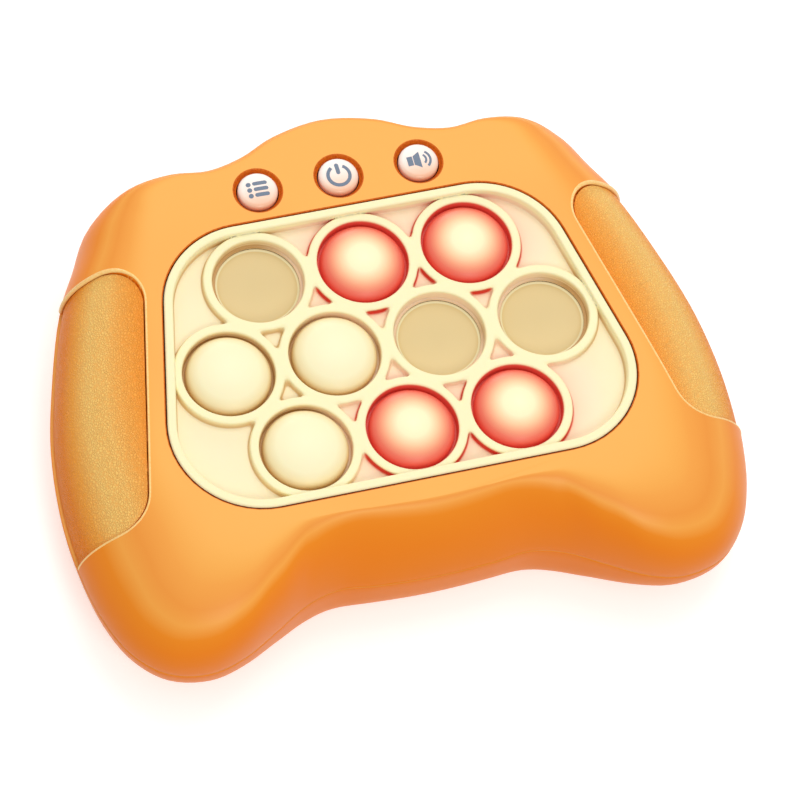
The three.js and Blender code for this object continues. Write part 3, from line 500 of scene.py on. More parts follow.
def carve(piece, tool, how="DIFFERENCE"):
    step = piece.modifiers.new("carve", "BOOLEAN")
    step.operation, step.solver, step.object = how, "EXACT", tool
    step.material_mode = "TRANSFER" if tool.data.materials else "INDEX"
    applyModifiers(piece)
    bpy.data.objects.remove(tool)
    return piece


def cut(piece, forms, how="DIFFERENCE", finish=None):
    return carve(piece, joinForms("tool", forms, finish), how)


# the outline of a polygon with rounded corners, anticlockwise, with the same count of points at any size
def roundedOutline(corners, radius, steps=14):
    corners = [np.array(corner, float) for corner in corners]
    outline = []
    for i, corner in enumerate(corners):
        before, after = corners[i - 1] - corner, corners[(i + 1) % len(corners)] - corner
        before, after = before / np.linalg.norm(before), after / np.linalg.norm(after)
        half = math.acos(float(np.clip(before @ after, -1, 1))) / 2
        middle = corner + (before + after) / np.linalg.norm(before + after) * radius / math.sin(half)
        start = corner + before * radius / math.tan(half) - middle
        angle = math.atan2(start[1], start[0])
        sweep = math.pi - 2 * half
        for k in range(steps + 1):
            turn = angle + sweep * k / steps
            outline.append(middle + radius * np.array((math.cos(turn), math.sin(turn))))
    return np.array(outline)


def atHeight(outline, height):
    return np.column_stack([outline, np.full(len(outline), height)])


def prismForm(outline, low, high):
    return loftForm([atHeight(outline, low), atHeight(outline, high)])


def boxForm(low, high):
    outline = [(low[0], low[1]), (high[0], low[1]), (high[0], high[1]), (low[0], high[1])]
    return prismForm(np.array(outline, float), low[2], high[2])


# a tube along a path, with its own radius at each point and rounded ends
def tubeForm(path, radii, sides=12):
    path = np.array(path, float)
    along = np.gradient(path, axis=0)
    along /= np.linalg.norm(along, axis=1)[:, None]
    side = np.cross(along[0], (0, 0, 1.0))
    points = []
    for place, way, radius in zip(path, along, radii):
        side = side - way * (side @ way)
        side /= np.linalg.norm(side)
        other = np.cross(way, side)
        for i in range(sides):
            angle = 2 * math.pi * i / sides
            points.append(place + radius * (side * math.cos(angle) + other * math.sin(angle)))
    return np.array(points), loftFaces(sides, len(path))


nodeBox = {name: (np.array(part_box(name)[0]) / mm, np.array(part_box(name)[1]) / mm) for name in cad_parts}


def middleOf(name):
    return (nodeBox[name][0] + nodeBox[name][1]) / 2


matShape = {"half": 54.3, "front": 36.4, "back": 37.6, "taper": 0.219, "corner": 21.5, "rim": 2.2,
            "rimTop": 37.2, "floor": 34.2, "ringTop": 36, "ledge": 33.25, "under": 32.2,
            "well": 11.07, "ring": 13.27, "hole": 10.2, "web": 1.7, "gap": 0.29,
            "roundTop": 0.5, "roundFoot": 0.4, "wellFoot": 0.25, "draft": 0.14, "cutFrom": 30,
            # the mesh of its top: the grid that finds the rings' lines, and where lines run over the edges
            "grid": 0.45, "spanX": (-70, 70), "spanY": (-40, 42), "turns": 72, "lines": (0.33, 0.13),
            "edgeLines": [0, 0.16, 0.35, 0.5], "probe": 0.03}


# the corners of the mat before they are rounded, and its outline, grown by a margin
def matCorners(margin):
    shape = matShape
    lean = margin * math.hypot(1, shape["taper"])
    front, back = shape["front"] + margin, shape["back"] + margin
    frontHalf = shape["half"] + shape["taper"] * front + lean
    backHalf = shape["half"] - shape["taper"] * back + lean
    middle = caseShape["gridY"]
    return np.array([(frontHalf, middle - front), (backHalf, middle + back),
                     (-backHalf, middle + back), (-frontHalf, middle - front)])


def matOutline(margin, steps=14):
    return roundedOutline(matCorners(margin), matShape["corner"] + margin, steps)


gripShape = {"line": 59.3, "taper": 0.222, "reach": 33, "corner": 9, "inset": 0.75, "skin": 0.7, "bed": 1.7,
             "bedPast": 3, "gap": 0.3, "outside": 150, "low": 15, "high": 40, "above": 60,
             # the lip round it: its radius and its cuff's, the shares of its length where the cuff starts
             # and over which it grows, how far out it runs, how low it ends, what shares of its radius it
             # lies lower and further in, then how its line is found: step, stations, break and smoothing
             "lip": 0.27, "cuff": 0.55, "cuffFrom": 0.68, "cuffOver": 0.12, "lipOut": 0.22, "lipLow": 16.5,
             "lipSink": 0.35, "lipIn": 0.3, "lipStep": 0.05, "lipStations": 150, "lipBreak": 10,
             "lipPasses": 3}


def gripOutline(side, margin):
    shape = gripShape
    reach = shape["reach"] + margin
    middle = caseShape["gridY"]
    lineAt = lambda y: shape["line"] - shape["taper"] * y - margin
    corners = [(lineAt(reach), middle + reach), (lineAt(-reach), middle - reach),
               (shape["outside"], middle - reach), (shape["outside"], middle + reach)]
    outline = roundedOutline(corners, shape["corner"])
    return outline if side > 0 else outline[::-1] * (-1, 1)


def gripCutter(side, margin):
    return prismForm(gripOutline(side, margin), gripShape["low"], gripShape["high"])


buttonShape = {"radius": 4.9, "gap": 0.3, "top": 37.2, "crown": 0.6, "edge": 1.1, "foot": 33,
               "seatDepth": 1.2, "seatWidth": 0.6, "seatRound": 0.35, "seatSlope": (0.25, 0.55, 0.3),
               "holeDepth": 6,
               "crownRings": 8, "edgeRings": 6, "edgeFrom": 0.2,
               "print": (0.035, -0.1),  # how high its face stands over the crown, and how deep its foot is
               # the ink's tones and roughness, and the width and depth of its grain
               "ink": (["#67768a", "#748294"], 0.55, 0.2, 0.004),
               "frontShade": [(0, "#f6b48c"), (0.22, "#fbcdb0"), (0.55, "#ffe9dc"), (0.85, "#fff6ee")]}
buttonNames = ["menu_button", "power_button", "sound_button"]


# how the top of the case runs out into a hole: straight, then rounded over at the plateau
def rounding(reach, top, size, steps=5):
    turns = [k / steps * math.pi / 2 for k in range(steps + 1)]
    return [(reach + size * (1 - math.cos(turn)), top - size + size * math.sin(turn)) for turn in turns]


def seatProfile():
    shape = buttonShape
    top, inner = caseShape["plateau"], shape["radius"] + shape["gap"]
    outer = inner + shape["seatWidth"]
    foot, bottom = top - shape["seatDepth"], top - shape["holeDepth"]
    upper, lower, rise = shape["seatSlope"]
    over = rounding(outer, top, shape["seatRound"])
    high = top + caseShape["past"]
    profile = [(0, high), (over[-1][0] + caseShape["step"], high)] + over[::-1]
    profile += [(outer - upper, foot + rise), (outer - lower, foot)]
    return profile + [(inner, foot), (inner, bottom), (0, bottom)]


def buildTopShell(finish, recess):
    plateau, gap = caseShape["plateau"], matShape["gap"]
    shell = caseSkin("topShellSkin", "crown", 0, caseShape["wall"], finish)
    edge = rounding(gap, plateau, caseShape["edgeRound"])
    last = edge[-1][0] + caseShape["step"], plateau + caseShape["past"]
    edge = [(gap, matShape["cutFrom"]), *edge, last]
    # the cut walls of the mat's opening and the buttons' seats take the painted shade material
    carve(shell, addLoft("opening", [atHeight(matOutline(reach), height) for reach, height in edge], recess))
    cut(shell, [turnedForm(seatProfile(), middleOf(name)[:2]) for name in buttonNames], finish=recess)
    for side in (-1, 1):
        hollow = joinForms("hollow", [gripCutter(side, gripShape["gap"])], finish)
        under = caseLoops("crown", gripShape["bed"], below=gripShape["bedPast"])
        carve(hollow, addLoft("bed", under, finish))
        carve(shell, hollow)
    smooth(shell, 32)
    evenShading(shell, "crown")
    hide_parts("top_shell")
    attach(shell, "case")


def buildGrip(side, finish):
    name = "left" if side < 0 else "right"
    skin = caseSkin(name + "GripSkin", "crown", gripShape["inset"], gripShape["skin"])
    cut(skin, [gripCutter(side, 0)], "INTERSECT")
    dress(skin, finish, 40)
    evenShading(skin, "crown", gripShape["inset"])
    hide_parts(name + "_grip")
    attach(skin, "case")


# the raised lip that the shell draws round each grip, thickest at the cuff of the back end
def buildLip(side, finish):
    shape = gripShape
    name = "leftGripLip" if side < 0 else "rightGripLip"
    outline = gripOutline(1, shape["gap"] + shape["lipOut"])
    points, faces = loftForm(caseLoops("crown", 0))
    surface = BVHTree.FromPolygons([Vector(p) for p in points], faces)
    path = []
    for a, b in zip(outline, np.roll(outline, -1, axis=0)):
        steps = max(int(np.linalg.norm(b - a) / shape["lipStep"]), 1)
        for k in range(steps):
            x, y = a + (b - a) * k / steps
            hit = surface.ray_cast(Vector((x, y, shape["above"])), Vector((0, 0, -1)))[0]
            if hit and hit.z > shape["lipLow"]:
                path.append(np.array(hit))
    path = np.array(path)
    gaps = np.linalg.norm(np.diff(path, axis=0), axis=1)
    breakAt = int(np.argmax(gaps))
    if gaps[breakAt] > shape["lipBreak"]:
        path = np.vstack([path[breakAt + 1:], path[:breakAt + 1]])
    along = np.concatenate([[0], np.cumsum(np.linalg.norm(np.diff(path, axis=0), axis=1))])
    places = np.linspace(0, along[-1], shape["lipStations"])
    path = np.column_stack([np.interp(places, along, path[:, k]) for k in range(3)])
    for _ in range(shape["lipPasses"]):
        path[1:-1] = (path[:-2] + 2 * path[1:-1] + path[2:]) / 4
    share = places / along[-1]
    back = share if path[-1][1] > path[0][1] else 1 - share
    growth = np.clip((back - shape["cuffFrom"]) / shape["cuffOver"], 0, 1) ** 2
    radii = shape["lip"] + (shape["cuff"] - shape["lip"]) * growth
    lows = path.copy()
    lows[:, 2] -= radii * shape["lipSink"]
    lows[:, 0] -= radii * shape["lipIn"]
    if side < 0:
        lows[:, 0] *= -1
    lip = joinForms(name, [tubeForm(lows, radii)], finish, sharp=60)
    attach(lip, "case")


orange = caseAbs()
buildTopShell(orange, recessShadeAbs())
print("top shell built")
# the grips' lips take the pale painted highlight material
pebbled, lipHighlight = gripAbs(), lipHighlightAbs()
for side in (-1, 1):
    buildGrip(side, pebbled)
    buildLip(side, lipHighlight)
print("grips built")


screwShape = {"places": [(60, -51), (66.6, -0.7), (44.6, 49.9)], "sides": 40, "pilotSides": 24,
              # radius, top and foot of its post and of its pilot hole
              "post": (4.4, 15.85, 0.8), "pilot": (1.15, 17, 6),
              # the well of its head, out through the belly, with a softened mouth
              "well": [(0, 7), (2.7, 7), (3, 6.7), (3, 0.4), (3.4, -0.1), (3.4, -2), (0, -2)]}
speakerShape = {"y": -30.98, "reach": 8.88, "slot": 1, "pitch": 3.73, "count": 5, "edge": 0.3}
boxShape = {"halfX": 28.55, "halfY": 22.75, "y": 14.25, "top": 17.5, "lid": 19.5, "wall": 2, "corner": 2,
            "collarLow": 2.1, "collarHigh": 5.3, "collarCorner": 3, "ledge": 3, "lap": 2, "gap": 0.3,
            "cutHigh": 4,
            # the door's ear: half width, half depth, corner and place; its lining: half sizes, corner and top
            "ear": (6, 4, 1, -13), "lining": (9, 5.3, 1, 4.1),
            # radius and top of the screw's boss and bore, and its place
            "boss": (3.6, 8.6), "bore": (1.6, 7.6), "screwY": -14, "bossSides": 32, "boreSides": 24,
            # the seats of the door's tongues: place, half width, from, to and top
            "seat": (14.55, 4.8, 36.6, 40.8, 5.4),
            # the slots of the contacts' tags: place from the box's middle, half sizes, from and to
            "tag": (28.05, 15, 0.8, 1.8, 16, 21)}


def rectangle(halfX, halfY, radius, y):
    corners = [(halfX, y - halfY), (halfX, y + halfY), (-halfX, y + halfY), (-halfX, y - halfY)]
    return roundedOutline(corners, radius, 5)


# the straight cutter of a hole whose outer edge is rounded over at the rest face
def softCut(outline, grow, high, size=0.4, low=-1, steps=4):
    loops = [atHeight(outline(grow + size), low)]
    for k in range(steps + 1):
        turn = k / steps * math.pi / 2
        loops.append(atHeight(outline(grow + size * (1 - math.sin(turn))), size * (1 - math.cos(turn))))
    return loftForm(loops + [atHeight(outline(grow), high)])


# the cutters of the door's opening: round its plate and round its screw's ear
def doorForm(grow, high):
    shape = boxShape
    halfX, halfY, corner, y = shape["ear"]
    wide, deep = shape["halfX"] + shape["lap"], shape["halfY"] + shape["lap"]
    door = lambda margin: rectangle(wide + margin, deep + margin, shape["corner"] + margin, shape["y"])
    ear = lambda margin: rectangle(halfX + margin, halfY + margin, corner + margin, y)
    return softCut(door, grow, high), softCut(ear, grow, high)


# a slot with round ends, its mouth softened
def slotForm(half, wide, y, high, size):
    outline = lambda margin: rectangle(half + margin, wide + margin, wide + margin - caseShape["step"], y)
    return softCut(outline, 0, high, size)


def buildBottomShell(finish):
    shell = caseSkin("bottomShellSkin", "belly", 0, caseShape["wall"])
    wells, pilots, slots, high = [], [], [], boxShape["cutHigh"]
    for x, y in screwShape["places"]:
        for place in ((-x, y), (x, y)):
            cut(shell, [pinForm(*screwShape["post"], place, screwShape["sides"])], "UNION")
            wells.append(turnedForm(screwShape["well"], place, screwShape["sides"]))
            pilots.append(pinForm(*screwShape["pilot"], place, screwShape["pilotSides"]))
    for i in range(speakerShape["count"]):
        away = (i - speakerShape["count"] // 2) * speakerShape["pitch"]
        reach = math.sqrt(speakerShape["reach"] ** 2 - away ** 2)
        y = speakerShape["y"] + away
        slots.append(slotForm(reach, speakerShape["slot"], y, high, speakerShape["edge"]))
    door, ear = doorForm(boxShape["gap"], high)
    for forms in (wells, pilots, slots, [door], [ear]):
        cut(shell, forms)
    dress(shell, finish, 32)
    evenShading(shell, "belly")
    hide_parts("bottom_shell")
    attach(shell, "case")


# the box behind the door, with the frame that the door closes on and the boss of its screw
def buildBatteryBox(finish):
    shape = boxShape
    wide, deep, y, low = shape["halfX"], shape["halfY"], shape["y"], shape["collarLow"]
    screw, out = (0, shape["screwY"]), shape["lap"] + shape["ledge"]
    walls = rectangle(wide + shape["wall"], deep + shape["wall"], shape["corner"], y)
    collar = rectangle(wide + out, deep + out, shape["collarCorner"], y)
    lining = rectangle(*shape["lining"][:3], shape["screwY"])
    box = joinForms("batteryBox", [prismForm(walls, low, shape["lid"])])
    cut(box, [prismForm(collar, low, shape["collarHigh"])], "UNION")
    cut(box, [prismForm(lining, low, shape["lining"][3])], "UNION")
    cut(box, [pinForm(*shape["boss"], low, screw, shape["bossSides"])], "UNION")
    cut(box, [boxForm((-wide, y - deep, 0), (wide, y + deep, shape["top"]))])
    seatX, seatHalf, near, far, seatTop = shape["seat"]
    seats = [boxForm((x - seatHalf, near, 0), (x + seatHalf, far, seatTop)) for x in (-seatX, seatX)]
    cut(box, [pinForm(*shape["bore"], 0, screw, shape["boreSides"])] + seats)
    tagX, tagY, halfX, halfY, foot, top = shape["tag"]
    for x, at in ((-tagX, y - tagY), (tagX, y + tagY)):
        cut(box, [boxForm((x - halfX, at - halfY, foot), (x + halfX, at + halfY, top))])
    dress(box, finish, 35)
    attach(box, "case")


doorShape = {"grooves": 4, "y": -2.5, "pitch": 3.2, "long": 11, "wide": 0.7, "deep": 0.5, "shrink": 0.12,
             "edge": 0.25, "weld": 0.001, "flat": 1}  # the last: up to what angle in degrees faces are joined


# the battery door: its own model's form, with grooves for a finger to push on, each shorter than the last
def buildDoor(finish):
    shape = doorShape
    door = addObject("batteryDoorSkin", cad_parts["battery_door"].data.copy())
    door.data.materials.clear()
    form = bmesh.new()
    form.from_mesh(door.data)
    bmesh.ops.remove_doubles(form, verts=form.verts, dist=shape["weld"] * mm)
    flat = math.radians(shape["flat"])
    bmesh.ops.dissolve_limit(form, angle_limit=flat, verts=form.verts, edges=form.edges)
    form.to_mesh(door.data)
    form.free()
    grooves = []
    for i in range(shape["grooves"]):
        half, y = shape["long"] * (1 - shape["shrink"] * i), shape["y"] + i * shape["pitch"]
        grooves.append(slotForm(half, shape["wide"], y, shape["deep"], shape["edge"]))
    cut(door, grooves)
    dress(door, finish, 32)
    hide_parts("battery_door")
    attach(door, "battery_door")


tongueShape = {"low": 14, "high": 17.9, "outer": 1.15, "inner": 2}


# the tongue that stands up from the bottom shell inside the seam
def buildSeamTongue(finish):
    low, high, outer, inner = (tongueShape[key] for key in ("low", "high", "outer", "inner"))
    loops = []
    for height, inset in ((low, outer), (high, outer), (high, inner), (low, inner)):
        loop = caseLoop("crown", inset, caseShape["seam"], caseShape["plateau"] - inset, 0)
        loop[:, 2] = height
        loops.append(loop)
    count = len(loops[0])
    foot = [(3 * count + i, 3 * count + (i + 1) % count, (i + 1) % count, i) for i in range(count)]
    faces = loftFaces(count, len(loops), closed=False) + foot
    band = addPiece("seamTongue", np.vstack(loops), faces, finish, sharp=35)
    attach(band, "case")


bubbles = {"pressed": ["back_left", "middle_right", "middle_far_right"],
           "lit": ["back_centre", "back_right", "front_centre", "front_right"],
           "radius": 10.3, "edge": 33.6, "rise": 4.4, "powers": (2.2, 0.42), "dish": 2, "travel": 6.4,
           "foot": 33.1, "rings": 24}
bubbleNames = [name[7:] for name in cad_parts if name.startswith("bubble_") and name != "bubble_mat"]
centres = {name: tuple(middleOf("bubble_" + name)[:2]) for name in bubbleNames}
litPlaces = [centres[name] for name in bubbles["lit"]]


# a height that steps down from top to low where away passes 0, rounded at its top and its foot
def stepDown(away, top, low, roundTop, roundFoot, draft):
    near = np.clip(away + roundTop, 0, roundTop)
    over = top - roundTop + np.sqrt(np.maximum(roundTop ** 2 - near ** 2, 0))
    wallHeight = top - roundTop + (low + roundFoot - top + roundTop) * np.clip(away / draft, 0, 1)
    far = np.clip(draft + roundFoot - away, 0, roundFoot)
    foot = low + roundFoot - np.sqrt(np.maximum(roundFoot ** 2 - far ** 2, 0))
    return np.where(away <= 0, over, np.where(away < draft, wallHeight, foot))


def panelDistance(x, y):
    corners = matCorners(-matShape["corner"])
    inside = np.ones(x.shape, bool)
    nearest = np.full(x.shape, 1e9)
    for a, b in zip(corners, np.roll(corners, -1, axis=0)):
        run = b - a
        share = np.clip(((x - a[0]) * run[0] + (y - a[1]) * run[1]) / (run @ run), 0, 1)
        nearest = np.minimum(nearest, np.hypot(x - a[0] - share * run[0], y - a[1] - share * run[1]))
        inside &= run[0] * (y - a[1]) - run[1] * (x - a[0]) >= 0
    return np.where(inside, -nearest, nearest) - matShape["corner"]


# distance to the joined rings, with the corners between them filled, and to the nearest well
def ringDistance(x, y):
    rings, well = None, None
    for cx, cy in centres.values():
        away = np.hypot(x - cx, y - cy)
        if rings is None:
            rings, well = away, away
            continue
        share = np.clip(0.5 + 0.5 * (rings - away) / matShape["web"], 0, 1)
        rings = rings + (away - rings) * share - matShape["web"] * share * (1 - share)
        well = np.minimum(well, away)
    return rings - matShape["ring"], well - matShape["well"]


def matHeight(x, y):
    shape = matShape
    panel = panelDistance(x, y)
    rings, well = ringDistance(x, y)
    turn = shape["roundTop"], shape["roundFoot"], shape["draft"]
    ring = stepDown(rings, shape["ringTop"], shape["floor"], *turn)
    rim = stepDown(-panel - shape["rim"], shape["rimTop"], shape["floor"], *turn)
    top = np.maximum(ring, rim)
    inner = stepDown(-well, shape["ringTop"], shape["ledge"], shape["roundTop"], shape["wellFoot"],
                     shape["draft"])
    top = np.where(well < shape["roundTop"], np.minimum(top, inner), top)
    near = np.clip(panel + shape["roundTop"], 0, shape["roundTop"])
    edge = shape["rimTop"] - shape["roundTop"] + np.sqrt(shape["roundTop"] ** 2 - near ** 2)
    return np.where(panel > -shape["roundTop"], np.minimum(top, edge), top)


def matNormals(x, y):
    step = matShape["probe"]
    slopeX = (matHeight(x + step, y) - matHeight(x - step, y)) / (2 * step)
    slopeY = (matHeight(x, y + step) - matHeight(x, y - step)) / (2 * step)
    normals = np.column_stack([-slopeX, -slopeY, np.ones(len(x))])
    return normals / np.linalg.norm(normals, axis=1)[:, None]


# the lines along which a field on a grid takes a value, as points and pairs of points
def contour(field, xs, ys, level):
    value = field - level
    points, index, pairs = [], {}, []

    def crossing(i, j, k, l):
        key = (i, j, k, l)
        if key not in index:
            share = value[i, j] / (value[i, j] - value[k, l])
            index[key] = len(points)
            points.append((xs[j] + (xs[l] - xs[j]) * share, ys[i] + (ys[k] - ys[i]) * share))
        return index[key]

    sign = value > 0
    first = sign[:-1, :-1]
    mixed = (first != sign[1:, 1:]) | (sign[:-1, 1:] != sign[1:, :-1]) | (first != sign[:-1, 1:])
    for i, j in np.argwhere(mixed):
        edges = [(i, j, i, j + 1), (i, j + 1, i + 1, j + 1), (i + 1, j, i + 1, j + 1), (i, j, i + 1, j)]
        crossed = [crossing(*edge) for edge in edges if sign[edge[0], edge[1]] != sign[edge[2], edge[3]]]
        pairs.extend(zip(crossed[::2], crossed[1::2]))
    return points, pairs


# the mat's top seen from above: points and faces that follow every edge of its rings, wells and rim
def flatMat():
    shape = matShape
    points, pairs = [], []

    def addLines(morePoints, morePairs):
        start = len(points)
        points.extend(morePoints)
        pairs.extend((a + start, b + start) for a, b in morePairs)

    def addRing(outline):
        count = len(outline)
        addLines([tuple(p) for p in outline], [(i, (i + 1) % count) for i in range(count)])

    draft, (far, near) = shape["draft"], shape["lines"]
    marks = [-shape["roundTop"], -far, -near, 0, draft, draft + near, draft + shape["roundFoot"]]
    xs, ys = (np.arange(*shape[key], shape["grid"]) for key in ("spanX", "spanY"))
    rings, _ = ringDistance(*np.meshgrid(xs, ys))
    for mark in marks:
        linePoints, linePairs = contour(rings, xs, ys, mark)
        places = np.array(linePoints)
        inside = panelDistance(places[:, 0], places[:, 1]) < -shape["rim"] + shape["roundFoot"]
        linePairs = [(a, b) for a, b in linePairs if inside[a] and inside[b]]
        used = sorted({i for pair in linePairs for i in pair})
        renumber = {old: new for new, old in enumerate(used)}
        addLines([linePoints[i] for i in used], [(renumber[a], renumber[b]) for a, b in linePairs])
    for mark in [shape["rim"] + mark for mark in marks] + shape["edgeLines"]:
        addRing(matOutline(-mark, 24))
    circles = [shape["hole"]] + [shape["well"] - mark for mark in marks[:4]]
    circles += [shape["well"] - draft, shape["well"] - draft - shape["wellFoot"]]
    turns = np.arange(shape["turns"]) * 2 * math.pi / shape["turns"]
    for cx, cy in centres.values():
        for radius in circles:
            addRing(np.column_stack([cx + radius * np.cos(turns), cy + radius * np.sin(turns)]))
    found, _, faces = delaunay_2d_cdt([Vector(p) for p in points], pairs, [], 0, 1e-5, False)[:3]
    flat = np.array(found)
    hole = shape["hole"] - shape["well"]
    middles = [flat[list(face)].mean(axis=0)[:, None] for face in faces]
    return flat, [tuple(face) for face, (x, y) in zip(faces, middles)
                  if panelDistance(x, y)[0] < 0 and ringDistance(x, y)[1][0] > hole]


def buildMat(finish, shaded):
    flat, faces = flatMat()
    mesh = bpy.data.meshes.new("bubbleMatTop")
    mesh.from_pydata((np.column_stack([flat, matHeight(*flat.T)]) * mm).tolist(), [], faces)
    form = bmesh.new()
    form.from_mesh(mesh)
    bmesh.ops.delete(form, geom=[v for v in form.verts if not v.link_faces], context="VERTS")
    bmesh.ops.recalc_face_normals(form, faces=form.faces)
    rims = [edge for edge in form.edges if edge.is_boundary]
    for item in bmesh.ops.extrude_edge_only(form, edges=rims)["geom"]:
        if isinstance(item, bmesh.types.BMFace):
            item.material_index = 1
        elif isinstance(item, bmesh.types.BMVert):
            item.co.z = matShape["under"] * mm
    form.to_mesh(mesh)
    form.free()
    mat = addObject("bubbleMatTop", mesh)
    mesh.materials.append(finish)
    mesh.materials.append(shaded)
    mesh.polygons.foreach_set("use_smooth", [True] * len(mesh.polygons))
    places = np.array([vert.co for vert in mesh.vertices]) / mm
    mesh.normals_split_custom_set_from_vertices(matNormals(places[:, 0], places[:, 1]).tolist())
    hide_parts("bubble_mat")
    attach(mat, "case")


# height of a raised bubble above its edge, by how far from its middle
def domeHeight(away):
    square, soft = bubbles["powers"]
    return bubbles["rise"] * (1 - np.clip(away / bubbles["radius"], 0, 1) ** square) ** soft


# the drop of a popped bubble, such that the blend turns it out to the same dome at the end of its travel
def dishHeight(away):
    target = domeHeight(away)
    low, high = np.zeros_like(target), np.ones_like(target)
    for _ in range(40):  # halved until exact
        share = (low + high) / 2
        height = -bubbles["dish"] * share + bubbles["travel"] * share ** 2 * (3 - 2 * share)
        low, high = np.where(height < target, share, low), np.where(height < target, high, share)
    return -bubbles["dish"] * low


def buildBubble(name, finish):
    shape = bubbles
    x, y = centres[name]
    down = name in shape["pressed"]
    across = shape["radius"] * np.sin(np.linspace(0, math.pi / 2, shape["rings"]))
    heights = (dishHeight(across) if down else domeHeight(across)) + shape["edge"]
    profile = list(zip(across, heights)) + [(shape["radius"], shape["foot"])]
    piece = joinForms("bubble." + name, [turnedForm(profile, (x, y))], finish, sharp=70, weighted=False)
    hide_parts("bubble_" + name)
    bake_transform(piece)


silicones = {"cream": "#fcf3c6", "shade": "#7c3c18", "emission": 0.1, "grain": (0.35, 0.003, 0.04),
             # from the middle of a bubble to its edge, as shares of its radius: raised, with painted shade at
             # its edge;
             # popped, in painted shade with a painted highlight on its fold; lit, in the painted light of its
             # lamp
             "creams": [(0, "#fdf4ca"), (0.7, "#fdf2c6"), (0.9, "#f8e4b0"), (1, "#e4c080")],
             "poppedShade": [(0, "#dfc68c"), (0.86, "#e2c98f"), (0.93, "#e0c486"), (0.955, "#f8ebba"),
                      (1, "#e8cc90")],
             "glows": [(0, "#fcf1c4"), (0.36, "#fce8bc"), (0.56, "#f8c79a"), (0.73, "#f09a76"),
                       (0.86, "#e77058"), (0.95, "#e75c49"), (1, "#e95847")],
             # the mat's colour by height in millimetres, as painted shade: darker tan in the grooves round
             # bubbles and down the walls, cream on the floor and top
             "low": 33.2, "high": 36.2,
             "walls": [(33.25, "#cfa264"), (34.1, "#dbb67a"), (34.17, "#fbecc2"), (34.21, "#fbecc2"),
                       (34.3, "#dcb67a"), (35.2, "#eed7a2"), (35.85, "#fbf0bf")],
             # how strongly the painted lamp light of a lit bubble shows on the mat: fully within its ring,
             # fading over the floor as far as it reaches, and not on the ring's top; its colours go from its
             # middle outwards
             "fade": (26, 13.9), "glowTop": (35.8, 35.3), "reach": 30,
             "paintedGlow": [(9, "#e04636"), (11.1, "#ea6050"), (11.6, "#fcf3c6"), (13, "#fcf3c6"),
                          (13.12, "#d01c0c"), (13.5, "#d8301c"), (13.9, "#fcdcb8"), (19, "#fce4c4"),
                          (26, "#fbecc2")]}


# translucent silicone rubber, compression moulded, with a soft satin face: light spreads inside it
def silicone(name, base):
    material, tree, shader = newMaterial(name, base, 0.42, IOR=1.41, Subsurface_Weight=0.12,
                                         Subsurface_Scale=0.002)
    shader.inputs["Subsurface Radius"].default_value = (1, 0.7, 0.4)
    addGrain(tree, shader, *silicones["grain"])
    return material, tree, shader


# the same rubber as the mat, with painted shade deeper in its grooves and down its walls, and the painted red
# light of the lamps round each lit bubble
def matSilicone():
    material, tree, shader = silicone("creamSilicone", silicones["cream"])
    away = addDistance(tree, litPlaces)
    low, high, reach = silicones["low"], silicones["high"], silicones["reach"]
    # painted shade: tan low in the grooves and down the walls, cream on the floor and top
    walls = addNode(tree, "ValToRGB", links={"Fac": shareAlong(tree, "Z", low, high)},
                    stops=[((z - low) / (high - low), colour) for z, colour in silicones["walls"]])
    # painted lamp light: red on the walls and floor round each lit bubble
    share = addNode(tree, "Math", {"operation": "DIVIDE"}, {1: reach}, {0: away})
    glow = addNode(tree, "ValToRGB", links={"Fac": share.outputs[0]},
                   stops=[(far / reach, colour) for far, colour in silicones["paintedGlow"]])
    first, full = silicones["fade"]
    near = addNode(tree, "MapRange", None, {"From Min": first, "From Max": full}, {"Value": away})
    share = addNode(tree, "Math", {"operation": "MULTIPLY"}, None,
                    {0: near.outputs["Result"], 1: shareAlong(tree, "Z", *silicones["glowTop"])})
    mix = addNode(tree, "Mix", {"data_type": "RGBA"}, None,
                  {0: share.outputs[0], 6: walls.outputs["Color"], 7: glow.outputs["Color"]})
    tree.links.new(mix.outputs[2], shader.inputs["Base Color"])
    return material


# the same rubber as a bubble, its colour painted from its middle to its folded edge: painted shade towards
# the edge of a raised one, and all over a popped one with a painted highlight on its fold; over a lamp,
# painted light, pale in the middle where the light comes through and red at the edge, with a weak painted
# glow of its own
def bubbleSilicone(name, stops, names, emission=0):
    material, tree, shader = silicone(name, stops[0][1])
    away = addDistance(tree, [centres[bubble] for bubble in names])
    share = addNode(tree, "Math", {"operation": "DIVIDE"}, {1: bubbles["radius"]}, {0: away})
    shade = paintAlong(tree, shader, share.outputs[0], stops)
    # painted glow: the lit bubbles' colour also shines as light of its own
    if emission:
        tree.links.new(shade, shader.inputs["Emission Color"])
        shader.inputs["Emission Strength"].default_value = emission
    return material


# white ABS, painted peach towards the front as painted shade and white towards the back
def buttonAbs():
    material, tree, shader = newMaterial("whiteAbs", "#ffe6d2", 0.3, IOR=1.54)
    addGrain(tree, shader, *plastics["fineGrain"])
    middle, reach = middleOf("power_button")[1], buttonShape["radius"]
    # painted shade: peach at the front of each button, white at its back
    paintAlong(tree, shader, shareAlong(tree, "Y", middle - reach, middle + reach), buttonShape["frontShade"])
    return material


# screen ink printed on the buttons: matt slate with thin, slightly uneven edges
def slateInk():
    return tonedMaterial("slateInk", *buttonShape["ink"], apart=0.15, IOR=1.5)


def buttonTop(away):
    return buttonShape["top"] + buttonShape["crown"] * (1 - (away / buttonShape["radius"]) ** 2)


